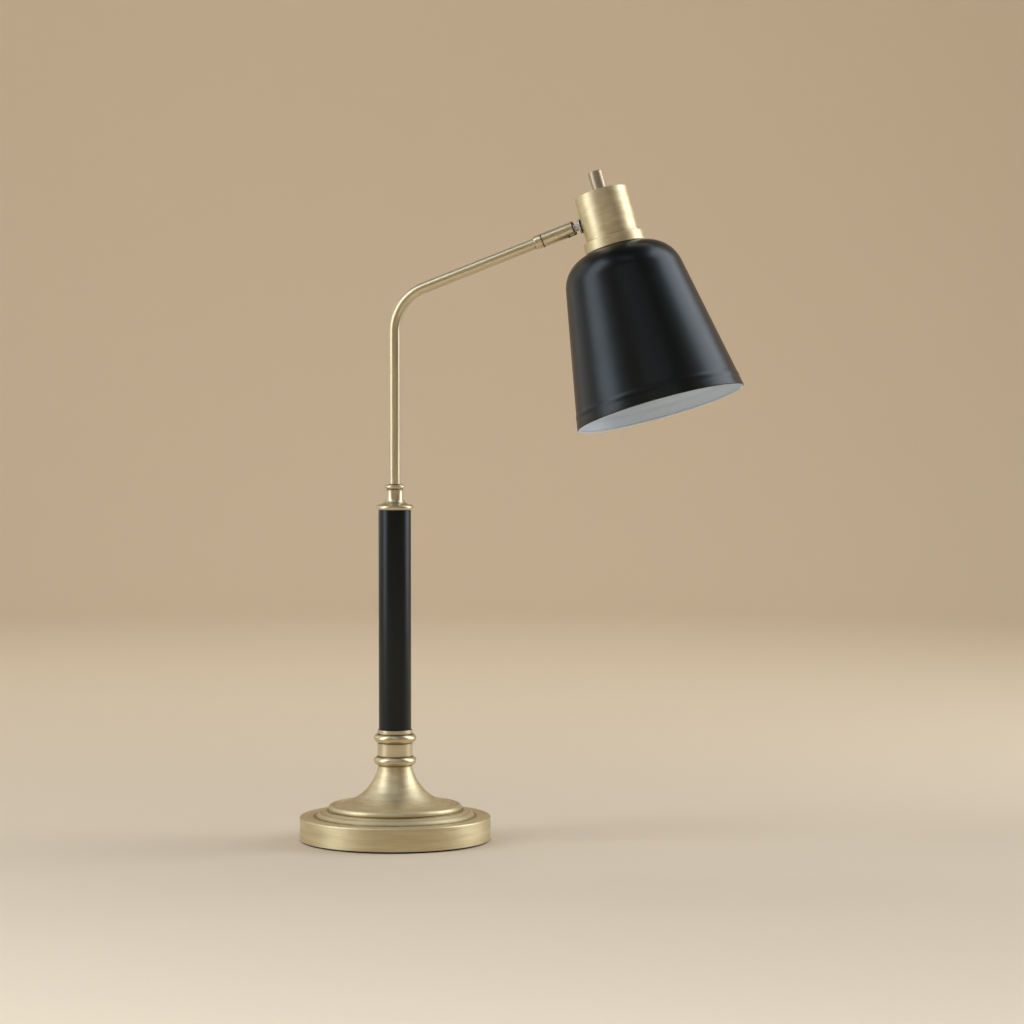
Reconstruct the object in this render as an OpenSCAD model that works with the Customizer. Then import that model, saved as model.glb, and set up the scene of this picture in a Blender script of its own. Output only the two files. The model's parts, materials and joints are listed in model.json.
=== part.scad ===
// Dome shade desk lamp: weighted spun base, black column, bent arm,
// slotted ball swivel, brass socket cup with a turn knob and a conical dome shade.
// Millimetres, +Z up. The origin is the centre of the base's underside, and the
// arm reaches along +X. The head is modelled as it leans at rest.

/* [Base] */
// Diameter of the base cover
base_d = 165; // [156:1:190]
// Thickness of the felt under the base
felt_t = 1.5; // [1:0.1:3]
// How far the felt's edge stays inside the cover's edge
felt_inset = 1.5; // [0.5:0.1:4]
// Height of the cover's upright edge
base_edge_h = 19.7; // [17:0.1:26]
// Rounding of the cover's upper edge
base_edge_round = 1.5; // [0.6:0.1:3]
// Wall of the spun base cover
base_wall = 1.2; // [0.8:0.1:1.6]
// Width of the flat top of the outer disc
base_ledge = 13.3; // [10:0.1:18]
// Width of the cushion moulding
cushion_w = 11.2; // [8:0.1:13]
// Height of the cushion moulding
cushion_h = 4.8; // [3:0.1:7]
// How far the cushion moulding swells off its chord
cushion_swell = 1.5; // [0.6:0.1:2.2]
// Radius of the rounded step above the cushion
step_r = 2.8; // [2:0.1:3.6]
// Height of the cove
cove_h = 34.3; // [28:0.1:37]

/* [Neck] */
// Height of the neck ring
neck_h = 30.4; // [28:0.1:40]
// Diameter of the neck ring between its beads
neck_d = 30.3; // [29.6:0.1:34]
// Thickness of each bead
bead_t = 7.3; // [4:0.1:8.5]
// How far each bead stands off the neck
bead_out = 3.2; // [1.5:0.1:4]
// Height between the two beads
bead_pitch = 19.4; // [14:0.1:20]
// Depth of the fine line under the neck's top edge
neck_line = 0.4; // [0.2:0.1:0.8]

/* [Column] */
// Diameter of the column tube
column_d = 28; // [26:0.1:29]
// Wall of the column tube
column_wall = 1.2; // [0.8:0.1:2]
// Length of the column tube
column_h = 190; // [120:1:260]
// Length of the spigots that centre the column tube
spigot_h = 5; // [3:0.5:8]
// Diameter of the cap's lower bead
cap_bead_d = 32.7; // [30:0.1:36]
// Thickness of the cap's lower bead
cap_bead_t = 4.3; // [3:0.1:6]
// Height of the cap's hollowed shoulder
cap_shoulder_h = 5.3; // [4:0.1:8]
// Diameter of the cap's neck
cap_neck_d = 13.9; // [13.4:0.1:15]
// Height of the cap's neck
cap_neck_h = 8.5; // [6:0.1:14]
// Diameter of the cap's top bead
cap_top_d = 17.2; // [16.4:0.1:20]
// Thickness of the cap's top bead
cap_top_t = 3.4; // [2:0.1:4]
// Depth of the arm's seat in the cap
arm_seat_h = 13; // [10:0.5:15]

/* [Tie rod] */
// Thread diameter of the tie rod and its nut
rod_d = 10; // [9:0.1:10.2]
// Bore of the tie rod
rod_bore = 7; // [5:0.1:7.6]
// Height of the nut on the tie rod
nut_h = 5; // [4:0.5:6]
// Width of the nut across its flats
nut_af = 17; // [14:0.5:19]
// Diameter of the washer under the nut
base_washer_d = 30; // [24:0.5:34]
// Thickness of the washer under the nut
base_washer_t = 1.5; // [1:0.1:2.5]

/* [Ballast] */
// Thickness of the ballast disc
weight_t = 12; // [10:0.5:14]
// Width of the ballast's raised edge
weight_edge_w = 9; // [6:0.5:12]
// Diameter of the hub in the ballast's middle
weight_hub_d = 50; // [44:1:60]
// Thickness of the ballast's web over its nut pocket
weight_web_t = 7; // [4:0.5:10]
// Diameter of the nut pocket
weight_pocket_d = 36; // [34:0.5:40]
// Width of the cord's groove in the ballast
cord_groove_w = 8; // [7:0.5:10]

/* [Cord inlet] */
// Height of the cord inlet above the table
inlet_h = 8.5; // [8:0.1:10]
// Bore of the inlet bushing
inlet_bore = 6.2; // [5:0.1:7]
// Diameter of the inlet bushing's body
inlet_d = 9; // [8:0.1:10]
// Diameter of the inlet bushing's head
inlet_head_d = 12; // [11:0.1:13]
// Thickness of the inlet bushing's head
inlet_head_t = 1.6; // [1:0.1:2.4]
// Length of the inlet bushing's body
inlet_len = 6; // [5:0.1:8]

/* [Arm] */
// Diameter of the arm tube
arm_d = 9.5; // [8.5:0.1:10]
// Wall of the arm tube
arm_wall = 1; // [0.6:0.1:1.4]
// Height from the cap's top to where the arm's two straight centre lines cross
arm_upright_h = 159; // [100:1:220]
// Radius of the arm's bend, at its centre line
arm_bend_r = 40; // [24:1:60]
// Rise of the arm above level, in degrees
arm_rise = 21.1; // [10:0.1:35]
// Length from that crossing to the swivel collar
arm_reach = 131.7; // [100:0.1:180]

/* [Swivel] */
// Diameter of the swivel collar and sleeve
swivel_d = 12.2; // [11.8:0.1:13]
// Length of the fixed swivel collar
collar_len = 6.8; // [6:0.1:10]
// Gap between the collar and the sleeve
swivel_gap = 0.4; // [0.3:0.1:0.8]
// Length of the swivel sleeve
sleeve_len = 28.8; // [28:0.1:36]
// Diameter of the collar's stub that the sleeve turns on
stub_d = 9; // [8.6:0.1:9.4]
// Bore of the swivel's parts, for the lead
lead_bore = 5; // [4:0.1:5.6]
// Turn of the sleeve's slot towards the front, in degrees
sleeve_turn = 12; // [0:1:30]
// Diameter of the ball
ball_d = 10.2; // [9.8:0.1:10.3]
// Depth of the ball's centre inside the sleeve's mouth
ball_depth = 4; // [3.6:0.1:4.4]
// Width of the sleeve's slot
slot_w = 7; // [6.6:0.1:7.4]
// Diameter of the neck behind the ball
stem_neck_d = 6; // [5:0.1:6.2]
// Bore of the ball and its stem
stem_bore = 3.8; // [3:0.1:4]
// Distance from the ball's centre to the cup's wall
stem_reach = 10.8; // [10.6:0.1:14]
// Diameter of the stem's flange
stem_flange_d = 12.6; // [11:0.1:13]
// Thickness of the stem's flange
stem_flange_t = 1.6; // [1:0.1:1.8]
// Diameter of the stem's threaded shank
shank_d = 8; // [7:0.1:8.6]
// Thickness of the friction washer outside the cup
friction_washer_t = 0.7; // [0.5:0.1:0.8]
// Thickness of the washer inside the cup
inner_washer_t = 1; // [0.8:0.1:1.4]
// Width of the stem's nut across its flats
stem_nut_af = 12; // [11:0.5:13]
// Height of the stem's nut
stem_nut_h = 3; // [2.5:0.1:3.6]

/* [Head] */
// Downward bend of the stem off the arm's line, in degrees
head_bend = 4.5; // [0:0.5:12]
// Roll of the head about the stem, in degrees
head_roll = 6.3; // [-10:0.1:15]
// Diameter of the socket cup
cup_d = 45.8; // [44:0.1:50]
// Wall of the socket cup
cup_wall = 1.2; // [0.8:0.1:1.6]
// Height of the socket cup
cup_h = 40.3; // [39:0.1:48]
// Rounding of the cup's upper edge
cup_round = 1; // [0.4:0.1:1.6]
// Depth of the stem below the cup's top
stem_drop = 22.8; // [22:0.1:25]
// Diameter of the collar ring
ring_d = 52.2; // [51:0.1:56]
// Height of the collar ring
ring_h = 9.4; // [8.5:0.1:14]
// Wall of the collar ring
ring_wall = 1.5; // [1:0.1:2]
// Rounding of the collar ring's upper edge
ring_round = 0.8; // [0.3:0.1:1.4]

/* [Shade] */
// Diameter of the shade's rim
shade_d = 146; // [135:1:165]
// Height of the shade
shade_h = 142; // [125:1:170]
// Wall of the shade
shade_wall = 1; // [0.8:0.1:1.5]
// Radius of the shade's shoulder
shoulder_r = 30; // [26:0.5:34]
// Slope of the shade's side off its axis, in degrees
shade_slope = 10.7; // [8:0.1:12]
// Height of the shade's bead above its rim
shade_bead_at = 11; // [9:0.5:20]
// Width of the shade's bead
shade_bead_w = 7; // [4:0.5:10]
// How far the shade's bead stands out
shade_bead_out = 0.3; // [0.1:0.05:0.6]
// Radius of the rolled edge at the shade's rim
shade_lip_r = 0.9; // [0.7:0.1:1.2]

/* [Socket and switch] */
// Diameter of the socket's skirt, which passes through the shade
skirt_d = 39.2; // [38.4:0.1:39.6]
// Length of the socket's skirt below the shade's top
skirt_len = 13; // [11:0.5:16]
// Diameter of the socket's flange, on top of the shade
flange_d = 47; // [45:0.5:47.5]
// Thickness of the socket's flange
flange_t = 2.5; // [2:0.1:3]
// Diameter of the socket's narrow upper end
socket_top_d = 28; // [26:0.5:29]
// Height of the socket's narrow upper end
socket_top_h = 12; // [11:0.1:12.5]
// Diameter of the bore that holds the screw shell
shell_bore_d = 27.8; // [27.4:0.1:28.4]
// Wall of the screw shell
screw_shell_wall = 0.4; // [0.3:0.1:0.5]
// Diameter of the ring that clamps the shade
shade_ring_d = 54; // [50:0.5:58]
// Height of the ring that clamps the shade
shade_ring_h = 7; // [5:0.5:9]
// Thickness of the strip that carries the socket
bracket_t = 1.2; // [1:0.1:1.6]
// Width of that strip
bracket_w = 12; // [9:0.5:14]
// Distance between the strip's two legs, outside
bracket_span = 34; // [33:0.5:36]
// Depth of the strip's feet below the cup's top
bracket_drop = 25; // [24.5:0.1:26]
// Distance between the two bracket screws
bracket_pitch = 22; // [20:0.5:23]
// Thread diameter of the bracket screws
bracket_screw_d = 3; // [2.5:0.1:3.2]
// Length of the switch body along X
switch_l = 22; // [18:0.5:23]
// Width of the switch body along Y
switch_w = 18; // [14:0.5:20]
// Height of the switch body
switch_h = 12.6; // [11:0.1:13]
// Diameter of the switch's threaded bush
bush_d = 7; // [6:0.1:7.6]
// Height of the bush above the cup
bush_h = 3.6; // [3:0.1:4.5]
// Diameter of the round nut on the bush
switch_nut_d = 10; // [9:0.1:10.2]
// Height of the round nut on the bush
switch_nut_h = 2.4; // [1.6:0.1:2.8]
// Diameter of the switch shaft
shaft_d = 4; // [3:0.1:4.4]
// Diameter of the knob
knob_d = 12.2; // [11.8:0.1:14]
// Height of the knob's top above the cup
knob_h = 18.6; // [14:0.1:24]
// Gap between the knob and the cup
knob_gap = 0.5; // [0.3:0.1:1]
// Rounding of the knob's upper edge
knob_round = 0.5; // [0.2:0.1:1]
// Diameter of the knob's set screw
set_screw_d = 3; // [2:0.1:3.4]

/* [Bulb] */
// Diameter of the bulb's glass
bulb_d = 60; // [45:1:60]
// Length of the bulb from its contact to its tip
bulb_len = 106; // [98:1:112]
// Diameter of the bulb's screw cap
bulb_cap_d = 26; // [25.5:0.1:26.2]
// Length of the bulb's screw cap
bulb_cap_len = 24; // [22:0.5:26]

/* [Fits] */
// Radial clearance of threads and seats that don't move
fit_gap = 0.05; // [0.03:0.01:0.08]
// Radial clearance of turning fits
turn_gap = 0.06; // [0.03:0.01:0.09]
// Clearance between pieces that move past each other
free_gap = 0.3; // [0.2:0.05:0.4]

/* [Hidden] */
$fn = 96;
// segments in each arc of an outline
arc_steps = 14;

// base: heights from the table, and radii
base_r = base_d / 2;
disc_z = felt_t + base_edge_h;
cushion_z = disc_z + cushion_h;
cushion_r0 = base_r - base_ledge;
cushion_r1 = cushion_r0 - cushion_w;
step_inset = 0.3;
step_sink = 0.3;
step_c = [cushion_r1 - step_inset - step_r, cushion_z - step_sink + step_r];
step_z = step_c[1] + step_r;
neck_r = neck_d / 2;
neck_z = step_z + cove_h;
cove_inset = 0.7;
cove_run = step_c[0] - neck_r + cove_inset;
cove_r = (pow(cove_run, 2) + pow(cove_h, 2)) / (2 * cove_h);
cove_c = [step_c[0], step_z + cove_r];
base_top_t = 1.5;

// column: heights
spigot_d = column_d - 2 * column_wall - 2 * fit_gap;
column_z = neck_z + neck_h;
cap_z = column_z + column_h;
cap_shoulder_z = cap_z + cap_bead_t;
cap_neck_z = cap_shoulder_z + cap_shoulder_h;
cap_top_z = cap_neck_z + cap_neck_h;
cap_end_z = cap_top_z + cap_top_t;
arm_seat_z = cap_end_z - arm_seat_h;
rod_stop = 2.5;
rod_top_z = arm_seat_z - rod_stop;

// ballast: the cord's groove runs below the nut
weight_r = base_r - base_wall - free_gap;
weight_top_z = disc_z - base_wall;
groove_z = inlet_h + cord_groove_w / 2;
rod_tail = 1;
nut_clear = 4;
nut_z = groove_z + nut_clear;
pocket_z = nut_z + nut_h + base_washer_t;
weight_hub_z = pocket_z + weight_web_t;
rod_end_z = nut_z - rod_tail;

// arm
arm_vertex_z = cap_end_z + arm_upright_h;
bend_angle = 90 - arm_rise;
bend_back = arm_bend_r * tan(bend_angle / 2);
collar_seat = 5;
arm_end = arm_reach + collar_seat;

// swivel, as distances along the arm from the crossing
swivel_r = swivel_d / 2;
stub_r = stub_d / 2;
lead_r = lead_bore / 2;
ball_r = ball_d / 2;
ball_fit_r = ball_r + turn_gap;
bore_ease = 0.15;
sleeve_bore_r = ball_r + bore_ease;
sleeve_back = 4;
collar_end = arm_reach + collar_len;
sleeve_start = collar_end + swivel_gap;
sleeve_shoulder = sleeve_start + sleeve_back;
mouth = sleeve_start + sleeve_len;
ball_at = mouth - ball_depth;
face_gap = 0.2;
clip_t = 0.7;
clip_at = sleeve_shoulder + face_gap;
clip_groove = 0.6;
stub_tail = 1.1;
stub_end = clip_at + clip_t + stub_tail;
lip_turn = 29;
seat_hold = 1.5;
seat_wall = 0.9;
seat_front = ball_at - seat_hold;
seat_back = ball_at - ball_r - seat_wall;
spring_count = 3;
spring_t = 0.7;
spring_dish = 0.5;
spring_pitch = spring_t + 0.05;
plug_front = seat_back - spring_dish - spring_count * spring_pitch;
plug_len = 3.4;

// stem, as distances from the ball's centre
flange_end_x = stem_reach - face_gap - friction_washer_t;
shoulder_x = flange_end_x - stem_flange_t;
cup_r = cup_d / 2;
cup_bore_r = cup_r - cup_wall;
head_x = stem_reach + cup_r;
inner_washer_d = 12;
inner_washer_x = head_x - sqrt(pow(cup_bore_r, 2) - pow(inner_washer_d / 2, 2)) + face_gap;
stem_nut_x = inner_washer_x + inner_washer_t;
shank_tail = 0.8;
shank_end_x = stem_nut_x + stem_nut_h + shank_tail;

// head: heights from the cup's top
ring_z = -cup_h;
shade_z = ring_z - ring_h;
shade_rim_z = shade_z - shade_h;
shade_r = shade_d / 2;
shoulder_c = [
    shade_r - tan(shade_slope) * (shade_h - shoulder_r) - shoulder_r / cos(shade_slope),
    shade_z - shoulder_r
];
skirt_r = skirt_d / 2;
switch_z = -cup_wall - bracket_t;
switch_end_z = switch_z - switch_h;
socket_z = -bracket_drop;
socket_step_z = socket_z - socket_top_h;
socket_end_z = shade_z - skirt_len;
screw_len = 7;
lead_wire_r = 1;

// bulb and its contacts
shell_depth = 1;
shell_floor_z = socket_step_z - shell_depth;
contact_t = 0.6;
contact_rise = 1;
contact_z = shell_floor_z - contact_rise;
bulb_z = contact_z - contact_t;
bulb_tip_t = 1.4;
bulb_cap_z = bulb_z - bulb_tip_t;
bulb_end_z = bulb_z - bulb_len;

// knob and shaft
knob_roof = 3.5;
shaft_in_switch = 7.6;
knob_pocket_z = bush_h + 1;
shaft_top_z = knob_h - knob_roof;
shaft_end_z = switch_z - shaft_in_switch;
set_screw_z = (knob_pocket_z + knob_h) / 2;

// ---- outlines ---------------------------------------------------------------

// points of an arc about c, from angle a0 to a1
function arc(c, r, a0, a1, n = arc_steps) = [
    for (i = [0:n]) c + r * [cos(a0 + (a1 - a0) * i / n), sin(a0 + (a1 - a0) * i / n)]
];

// points of the arc from p to q that rises by h to the left of p-q
function bow(p, q, h, n = arc_steps) =
    let (
        chord = norm(q - p),
        left = [p[1] - q[1], q[0] - p[0]] / chord,
        r = (pow(chord / 2, 2) + pow(h, 2)) / (2 * h),
        c = (p + q) / 2 + left * (h - r),
        a0 = atan2(p[1] - c[1], p[0] - c[0]),
        sweep = 2 * asin(chord / 2 / r)
    )
    arc(c, abs(r), a0, a0 - sweep, n);

// outer line of the base cover up to a height, moved inwards by t
function base_line(t, top) = concat(
    [[base_r - t, felt_t]],
    arc([base_r, disc_z] - max(base_edge_round, t) * [1, 1], max(base_edge_round - t, 0.01), 0, 90, 6),
    bow([cushion_r0 - t, disc_z - t], [cushion_r1 - t, cushion_z - t], -cushion_swell),
    arc(step_c, step_r - t, -40, 90, 10),
    arc(cove_c, cove_r + t, 269, 180 + asin((cove_c[1] - top) / (cove_r + t)), 2 * arc_steps)
);

// line of the shade's side from its top to below its bead, moved inwards by t
function shade_line(t) = concat(
    arc(shoulder_c, shoulder_r - t, 90, shade_slope, 2 * arc_steps),
    [
        for (i = [0:arc_steps])
        let (
            up = shade_bead_at + shade_bead_w * (0.5 - i / arc_steps),
            swell = shade_bead_out * (1 - cos(360 * i / arc_steps)) / 2
        )
        [shade_r - up * tan(shade_slope) - t / cos(shade_slope) + swell, shade_rim_z + up]
    ]
);

// a list read backwards
function backwards(list) = [for (i = [len(list) - 1:-1:0]) list[i]];

// ---- shapes that repeat -----------------------------------------------------

// round tube along +Z
module pipe(d, bore, h) {
    difference() {
        cylinder(d = d, h = h);
        translate([0, 0, -1]) cylinder(d = bore, h = h + 2);
    }
}

// hexagonal nut along +Z
module hex_nut(af, bore, h) {
    difference() {
        cylinder(d = af / cos(30), h = h, $fn = 6);
        translate([0, 0, -1]) cylinder(d = bore, h = h + 2);
    }
}

// disc with a half-round edge, its underside at z
module round_disc(d, t, z) {
    translate([0, 0, z]) {
        cylinder(d = d - t, h = t);
        rotate_extrude() translate([(d - t) / 2, t / 2]) circle(d = t, $fn = 48);
    }
}

// solid turned about +X from points [radius, x]
module turned_x(points) {
    rotate([0, 90, 0]) rotate_extrude() polygon(points);
}

// ---- places -----------------------------------------------------------------

// where the arm's centre lines cross, with +X along the arm
module at_arm() {
    translate([0, 0, arm_vertex_z]) rotate([0, -arm_rise, 0]) children();
}

// the same, turned so that the sleeve's slot lies at -Z
module at_sleeve() {
    at_arm() rotate([-sleeve_turn, 0, 0]) children();
}

// the ball's centre, with +X along the stem
module at_stem() {
    at_sleeve() translate([ball_at, 0, 0]) rotate([0, head_bend, 0]) children();
}

// the middle of the cup's top, with +Z along the head's axis
module at_head() {
    at_stem() rotate([head_roll, 0, 0]) translate([head_x, 0, stem_drop]) children();
}

// ---- base -------------------------------------------------------------------

module felt_pad() {
    color("dimgray") cylinder(r = base_r - felt_inset, h = felt_t);
}

module base_weight() {
    color("darkslategray") difference() {
        rotate_extrude() polygon([
            [0, felt_t],
            [weight_r, felt_t],
            [weight_r, weight_top_z - base_edge_round],
            [weight_r - base_edge_round, weight_top_z],
            [weight_r - weight_edge_w, weight_top_z],
            [weight_r - weight_edge_w, felt_t + weight_t],
            [weight_hub_d / 2, felt_t + weight_t],
            [weight_hub_d / 2, weight_hub_z],
            [0, weight_hub_z]
        ]);
        cylinder(d = weight_pocket_d, h = pocket_z);
        cylinder(d = rod_d + 2 * fit_gap, h = weight_hub_z + 1);
        translate([-cord_groove_w / 2, 0, 0]) cube([cord_groove_w, base_r, groove_z]);
        translate([0, base_r, inlet_h]) rotate([90, 0, 0])
            cylinder(d = inlet_d + 2 * free_gap, h = inlet_len + free_gap);
    }
}

module base_shell() {
    rod_hole_r = rod_d / 2 + fit_gap;
    under_z = neck_z - base_top_t;
    color("darkkhaki") difference() {
        rotate_extrude() polygon(concat(
            base_line(0, neck_z),
            [[rod_hole_r, neck_z], [rod_hole_r, under_z]],
            backwards(base_line(base_wall, under_z))
        ));
        translate([0, base_r + 1, inlet_h]) rotate([90, 0, 0])
            cylinder(d = inlet_d + 2 * fit_gap, h = base_wall + 3);
    }
}

module cord_bushing() {
    color("black") translate([0, base_r + inlet_head_t, inlet_h]) rotate([90, 0, 0]) {
        pipe(inlet_head_d, inlet_bore, inlet_head_t);
        pipe(inlet_d, inlet_bore, inlet_head_t + inlet_len);
    }
}

module base_washer() {
    color("silver") translate([0, 0, pocket_z - base_washer_t])
        pipe(base_washer_d, rod_d + 2 * fit_gap, base_washer_t);
}

module base_nut() {
    color("silver") translate([0, 0, nut_z]) hex_nut(nut_af, rod_d + 2 * fit_gap, nut_h);
}

module tie_rod() {
    color("silver") translate([0, 0, rod_end_z]) pipe(rod_d, rod_bore, rod_top_z - rod_end_z);
}

// ---- neck and column --------------------------------------------------------

module neck_ring() {
    bead_d = neck_d + 2 * bead_out;
    web = 4;
    color("darkkhaki") difference() {
        union() {
            translate([0, 0, neck_z]) cylinder(d = neck_d, h = neck_h);
            round_disc(bead_d, bead_t, neck_z);
            round_disc(bead_d, bead_t, neck_z + bead_pitch);
            translate([0, 0, column_z]) cylinder(d = spigot_d, h = spigot_h);
        }
        translate([0, 0, neck_z - 1]) cylinder(d = rod_d + 2 * fit_gap, h = neck_h + spigot_h + 2);
        translate([0, 0, neck_z + web]) cylinder(d = neck_d - 2 * web, h = neck_h - 2 * web);
        translate([0, 0, column_z - 1.2]) rotate_extrude() translate([neck_r, 0])
            circle(r = neck_line, $fn = 16);
    }
}

module column_tube() {
    color("black") translate([0, 0, column_z])
        pipe(column_d, column_d - 2 * column_wall, column_h);
}

module column_cap() {
    neck = cap_neck_d / 2;
    shoulder = (cap_bead_d - cap_bead_t) / 2;
    hollow = 1.2;
    color("darkkhaki") difference() {
        union() {
            translate([0, 0, cap_z - spigot_h]) cylinder(d = spigot_d, h = spigot_h);
            round_disc(cap_bead_d, cap_bead_t, cap_z);
            rotate_extrude() polygon(concat(
                [[0, cap_shoulder_z]],
                bow([shoulder, cap_shoulder_z], [neck, cap_neck_z], hollow),
                [[0, cap_neck_z]]
            ));
            translate([0, 0, cap_neck_z]) cylinder(r = neck, h = cap_neck_h);
            round_disc(cap_top_d, cap_top_t, cap_top_z);
        }
        translate([0, 0, cap_z - spigot_h - 1])
            cylinder(d = rod_d + 2 * fit_gap, h = rod_top_z - cap_z + spigot_h + 1);
        translate([0, 0, rod_top_z - 1]) cylinder(d = rod_bore, h = arm_seat_z - rod_top_z + 2);
        translate([0, 0, arm_seat_z]) cylinder(d = arm_d + 2 * fit_gap, h = arm_seat_h + 1);
        translate([0, 0, cap_end_z - 0.8]) cylinder(d = arm_d + 1.4, h = 1);
    }
}

// ---- arm and swivel ---------------------------------------------------------

module arm_tube() {
    bore = arm_d - 2 * arm_wall;
    bend_z = arm_vertex_z - bend_back;
    color("darkkhaki") {
        translate([0, 0, arm_seat_z]) pipe(arm_d, bore, bend_z - arm_seat_z);
        translate([arm_bend_r, 0, bend_z]) rotate([90, 0, 0]) rotate([0, 0, 180 - bend_angle])
            rotate_extrude(angle = bend_angle) translate([arm_bend_r, 0]) difference() {
                circle(d = arm_d);
                circle(d = bore);
            }
        at_arm() translate([bend_back, 0, 0]) rotate([0, 90, 0])
            pipe(arm_d, bore, arm_end - bend_back);
    }
}

module swivel_collar() {
    seat_r = arm_d / 2 + fit_gap;
    groove_r = stub_r - clip_groove;
    edge = 0.5;
    color("darkkhaki") at_arm() turned_x([
        [seat_r, arm_reach],
        [swivel_r - edge, arm_reach],
        [swivel_r, arm_reach + edge],
        [swivel_r, collar_end],
        [stub_r, collar_end],
        [stub_r, clip_at],
        [groove_r, clip_at],
        [groove_r, clip_at + clip_t + 0.1],
        [stub_r, clip_at + clip_t + 0.1],
        [stub_r, stub_end],
        [lead_r, stub_end],
        [lead_r, arm_end],
        [seat_r, arm_end]
    ]);
}

module swivel_clip() {
    color("silver") at_arm() translate([clip_at + 0.05, 0, 0]) rotate([0, 90, 0])
        pipe(2 * (sleeve_bore_r - free_gap), stub_d - 2 * (clip_groove - fit_gap), clip_t);
}

module swivel_sleeve() {
    turn_r = stub_r + turn_gap;
    lip_start = 5;
    lip_edge = 0.7;
    lip = concat(
        [[sleeve_bore_r, ball_at]],
        arc([0, ball_at], ball_fit_r, lip_start, lip_turn),
        [[swivel_r - lip_edge, mouth]]
    );
    color("darkkhaki") at_sleeve() difference() {
        turned_x(concat(
            [
                [swivel_r, mouth],
                [swivel_r, sleeve_start],
                [turn_r, sleeve_start],
                [turn_r, sleeve_shoulder],
                [sleeve_bore_r, sleeve_shoulder]
            ],
            lip
        ));
        translate([ball_at, 0, -swivel_r - 1]) {
            cylinder(d = slot_w, h = swivel_r);
            translate([0, -slot_w / 2, 0]) cube([ball_depth + 1, slot_w, swivel_r]);
        }
    }
}

module backing_plug() {
    color("silver") at_sleeve() translate([plug_front - plug_len, 0, 0]) rotate([0, 90, 0])
        pipe(2 * (sleeve_bore_r - fit_gap), lead_bore, plug_len);
}

module seat_springs() {
    rim_r = sleeve_bore_r - fit_gap;
    color("gray") at_sleeve() for (i = [0:spring_count - 1])
        translate([plug_front + i * spring_pitch, 0, 0]) turned_x([
            [lead_r, spring_dish],
            [rim_r, 0],
            [rim_r, spring_t],
            [lead_r, spring_t + spring_dish]
        ]);
}

module ball_seat() {
    hole_turn = asin(lead_r / ball_fit_r);
    color("ivory") at_sleeve() turned_x(concat(
        [
            [lead_r, seat_back],
            [sleeve_bore_r - fit_gap, seat_back],
            [sleeve_bore_r - fit_gap, seat_front]
        ],
        arc([0, ball_at], ball_fit_r, asin((seat_front - ball_at) / ball_fit_r), hole_turn - 90)
    ));
}

module ball_stem() {
    color("lightgray") at_stem() difference() {
        union() {
            sphere(d = ball_d);
            rotate([0, 90, 0]) cylinder(d = stem_neck_d, h = shoulder_x + 0.5);
            turned_x([
                [0, shoulder_x],
                [stem_flange_d / 2 - 0.4, shoulder_x],
                [stem_flange_d / 2, shoulder_x + 0.4],
                [stem_flange_d / 2, flange_end_x],
                [0, flange_end_x]
            ]);
            translate([flange_end_x - 0.5, 0, 0]) rotate([0, 90, 0])
                cylinder(d = shank_d, h = shank_end_x - flange_end_x + 0.5);
        }
        translate([-ball_d, 0, 0]) rotate([0, 90, 0])
            cylinder(d = stem_bore, h = ball_d + shank_end_x + 1);
    }
}

module friction_washer() {
    color("dimgray") at_stem() translate([flange_end_x, 0, 0]) rotate([0, 90, 0])
        pipe(stem_flange_d - 0.8, shank_d + 2 * fit_gap, friction_washer_t);
}

module inner_washer() {
    color("silver") at_stem() translate([inner_washer_x, 0, 0]) rotate([0, 90, 0])
        pipe(inner_washer_d, shank_d + 2 * fit_gap, inner_washer_t);
}

module stem_nut() {
    color("silver") at_stem() translate([stem_nut_x, 0, 0]) rotate([0, 90, 0])
        hex_nut(stem_nut_af, shank_d + 2 * fit_gap, stem_nut_h);
}

// ---- head: metalwork --------------------------------------------------------

module socket_cup() {
    color("darkkhaki") at_head() difference() {
        rotate_extrude() polygon(concat(
            [[bush_d / 2 + fit_gap, 0]],
            arc([cup_r - cup_round, -cup_round], cup_round, 90, 0, 8),
            [[cup_r, -cup_h], [cup_bore_r, -cup_h], [cup_bore_r, -cup_wall]],
            [[bush_d / 2 + fit_gap, -cup_wall]]
        ));
        translate([-cup_r - 1, 0, -stem_drop]) rotate([0, 90, 0])
            cylinder(d = shank_d + 2 * turn_gap, h = cup_r);
    }
}

module collar_ring() {
    outer = ring_d / 2;
    spigot_top = ring_z + 4;
    color("darkkhaki") at_head() rotate_extrude() polygon(concat(
        [
            [skirt_r + free_gap, spigot_top],
            [cup_bore_r - fit_gap, spigot_top],
            [cup_bore_r - fit_gap, ring_z]
        ],
        arc([outer, ring_z] - ring_round * [1, 1], ring_round, 90, 0, 8),
        [
            [outer, shade_z],
            [outer - ring_wall, shade_z],
            [outer - ring_wall, ring_z - ring_wall],
            [skirt_r + free_gap, ring_z - ring_wall]
        ]
    ));
}

module shade() {
    hole_r = skirt_r + free_gap;
    lip_at = shade_r - shade_lip_r * (tan(shade_slope) + 1 / cos(shade_slope));
    lip_c = [lip_at, shade_rim_z + shade_lip_r];
    lip_end = shade_slope - 180 - acos(shade_wall / shade_lip_r - 1);
    color("black") at_head() rotate_extrude() polygon(concat(
        [[hole_r, shade_z]],
        shade_line(0),
        arc(lip_c, shade_lip_r, shade_slope, lip_end, 2 * arc_steps),
        backwards(shade_line(shade_wall)),
        [[hole_r, shade_z - shade_wall]]
    ));
}

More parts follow.
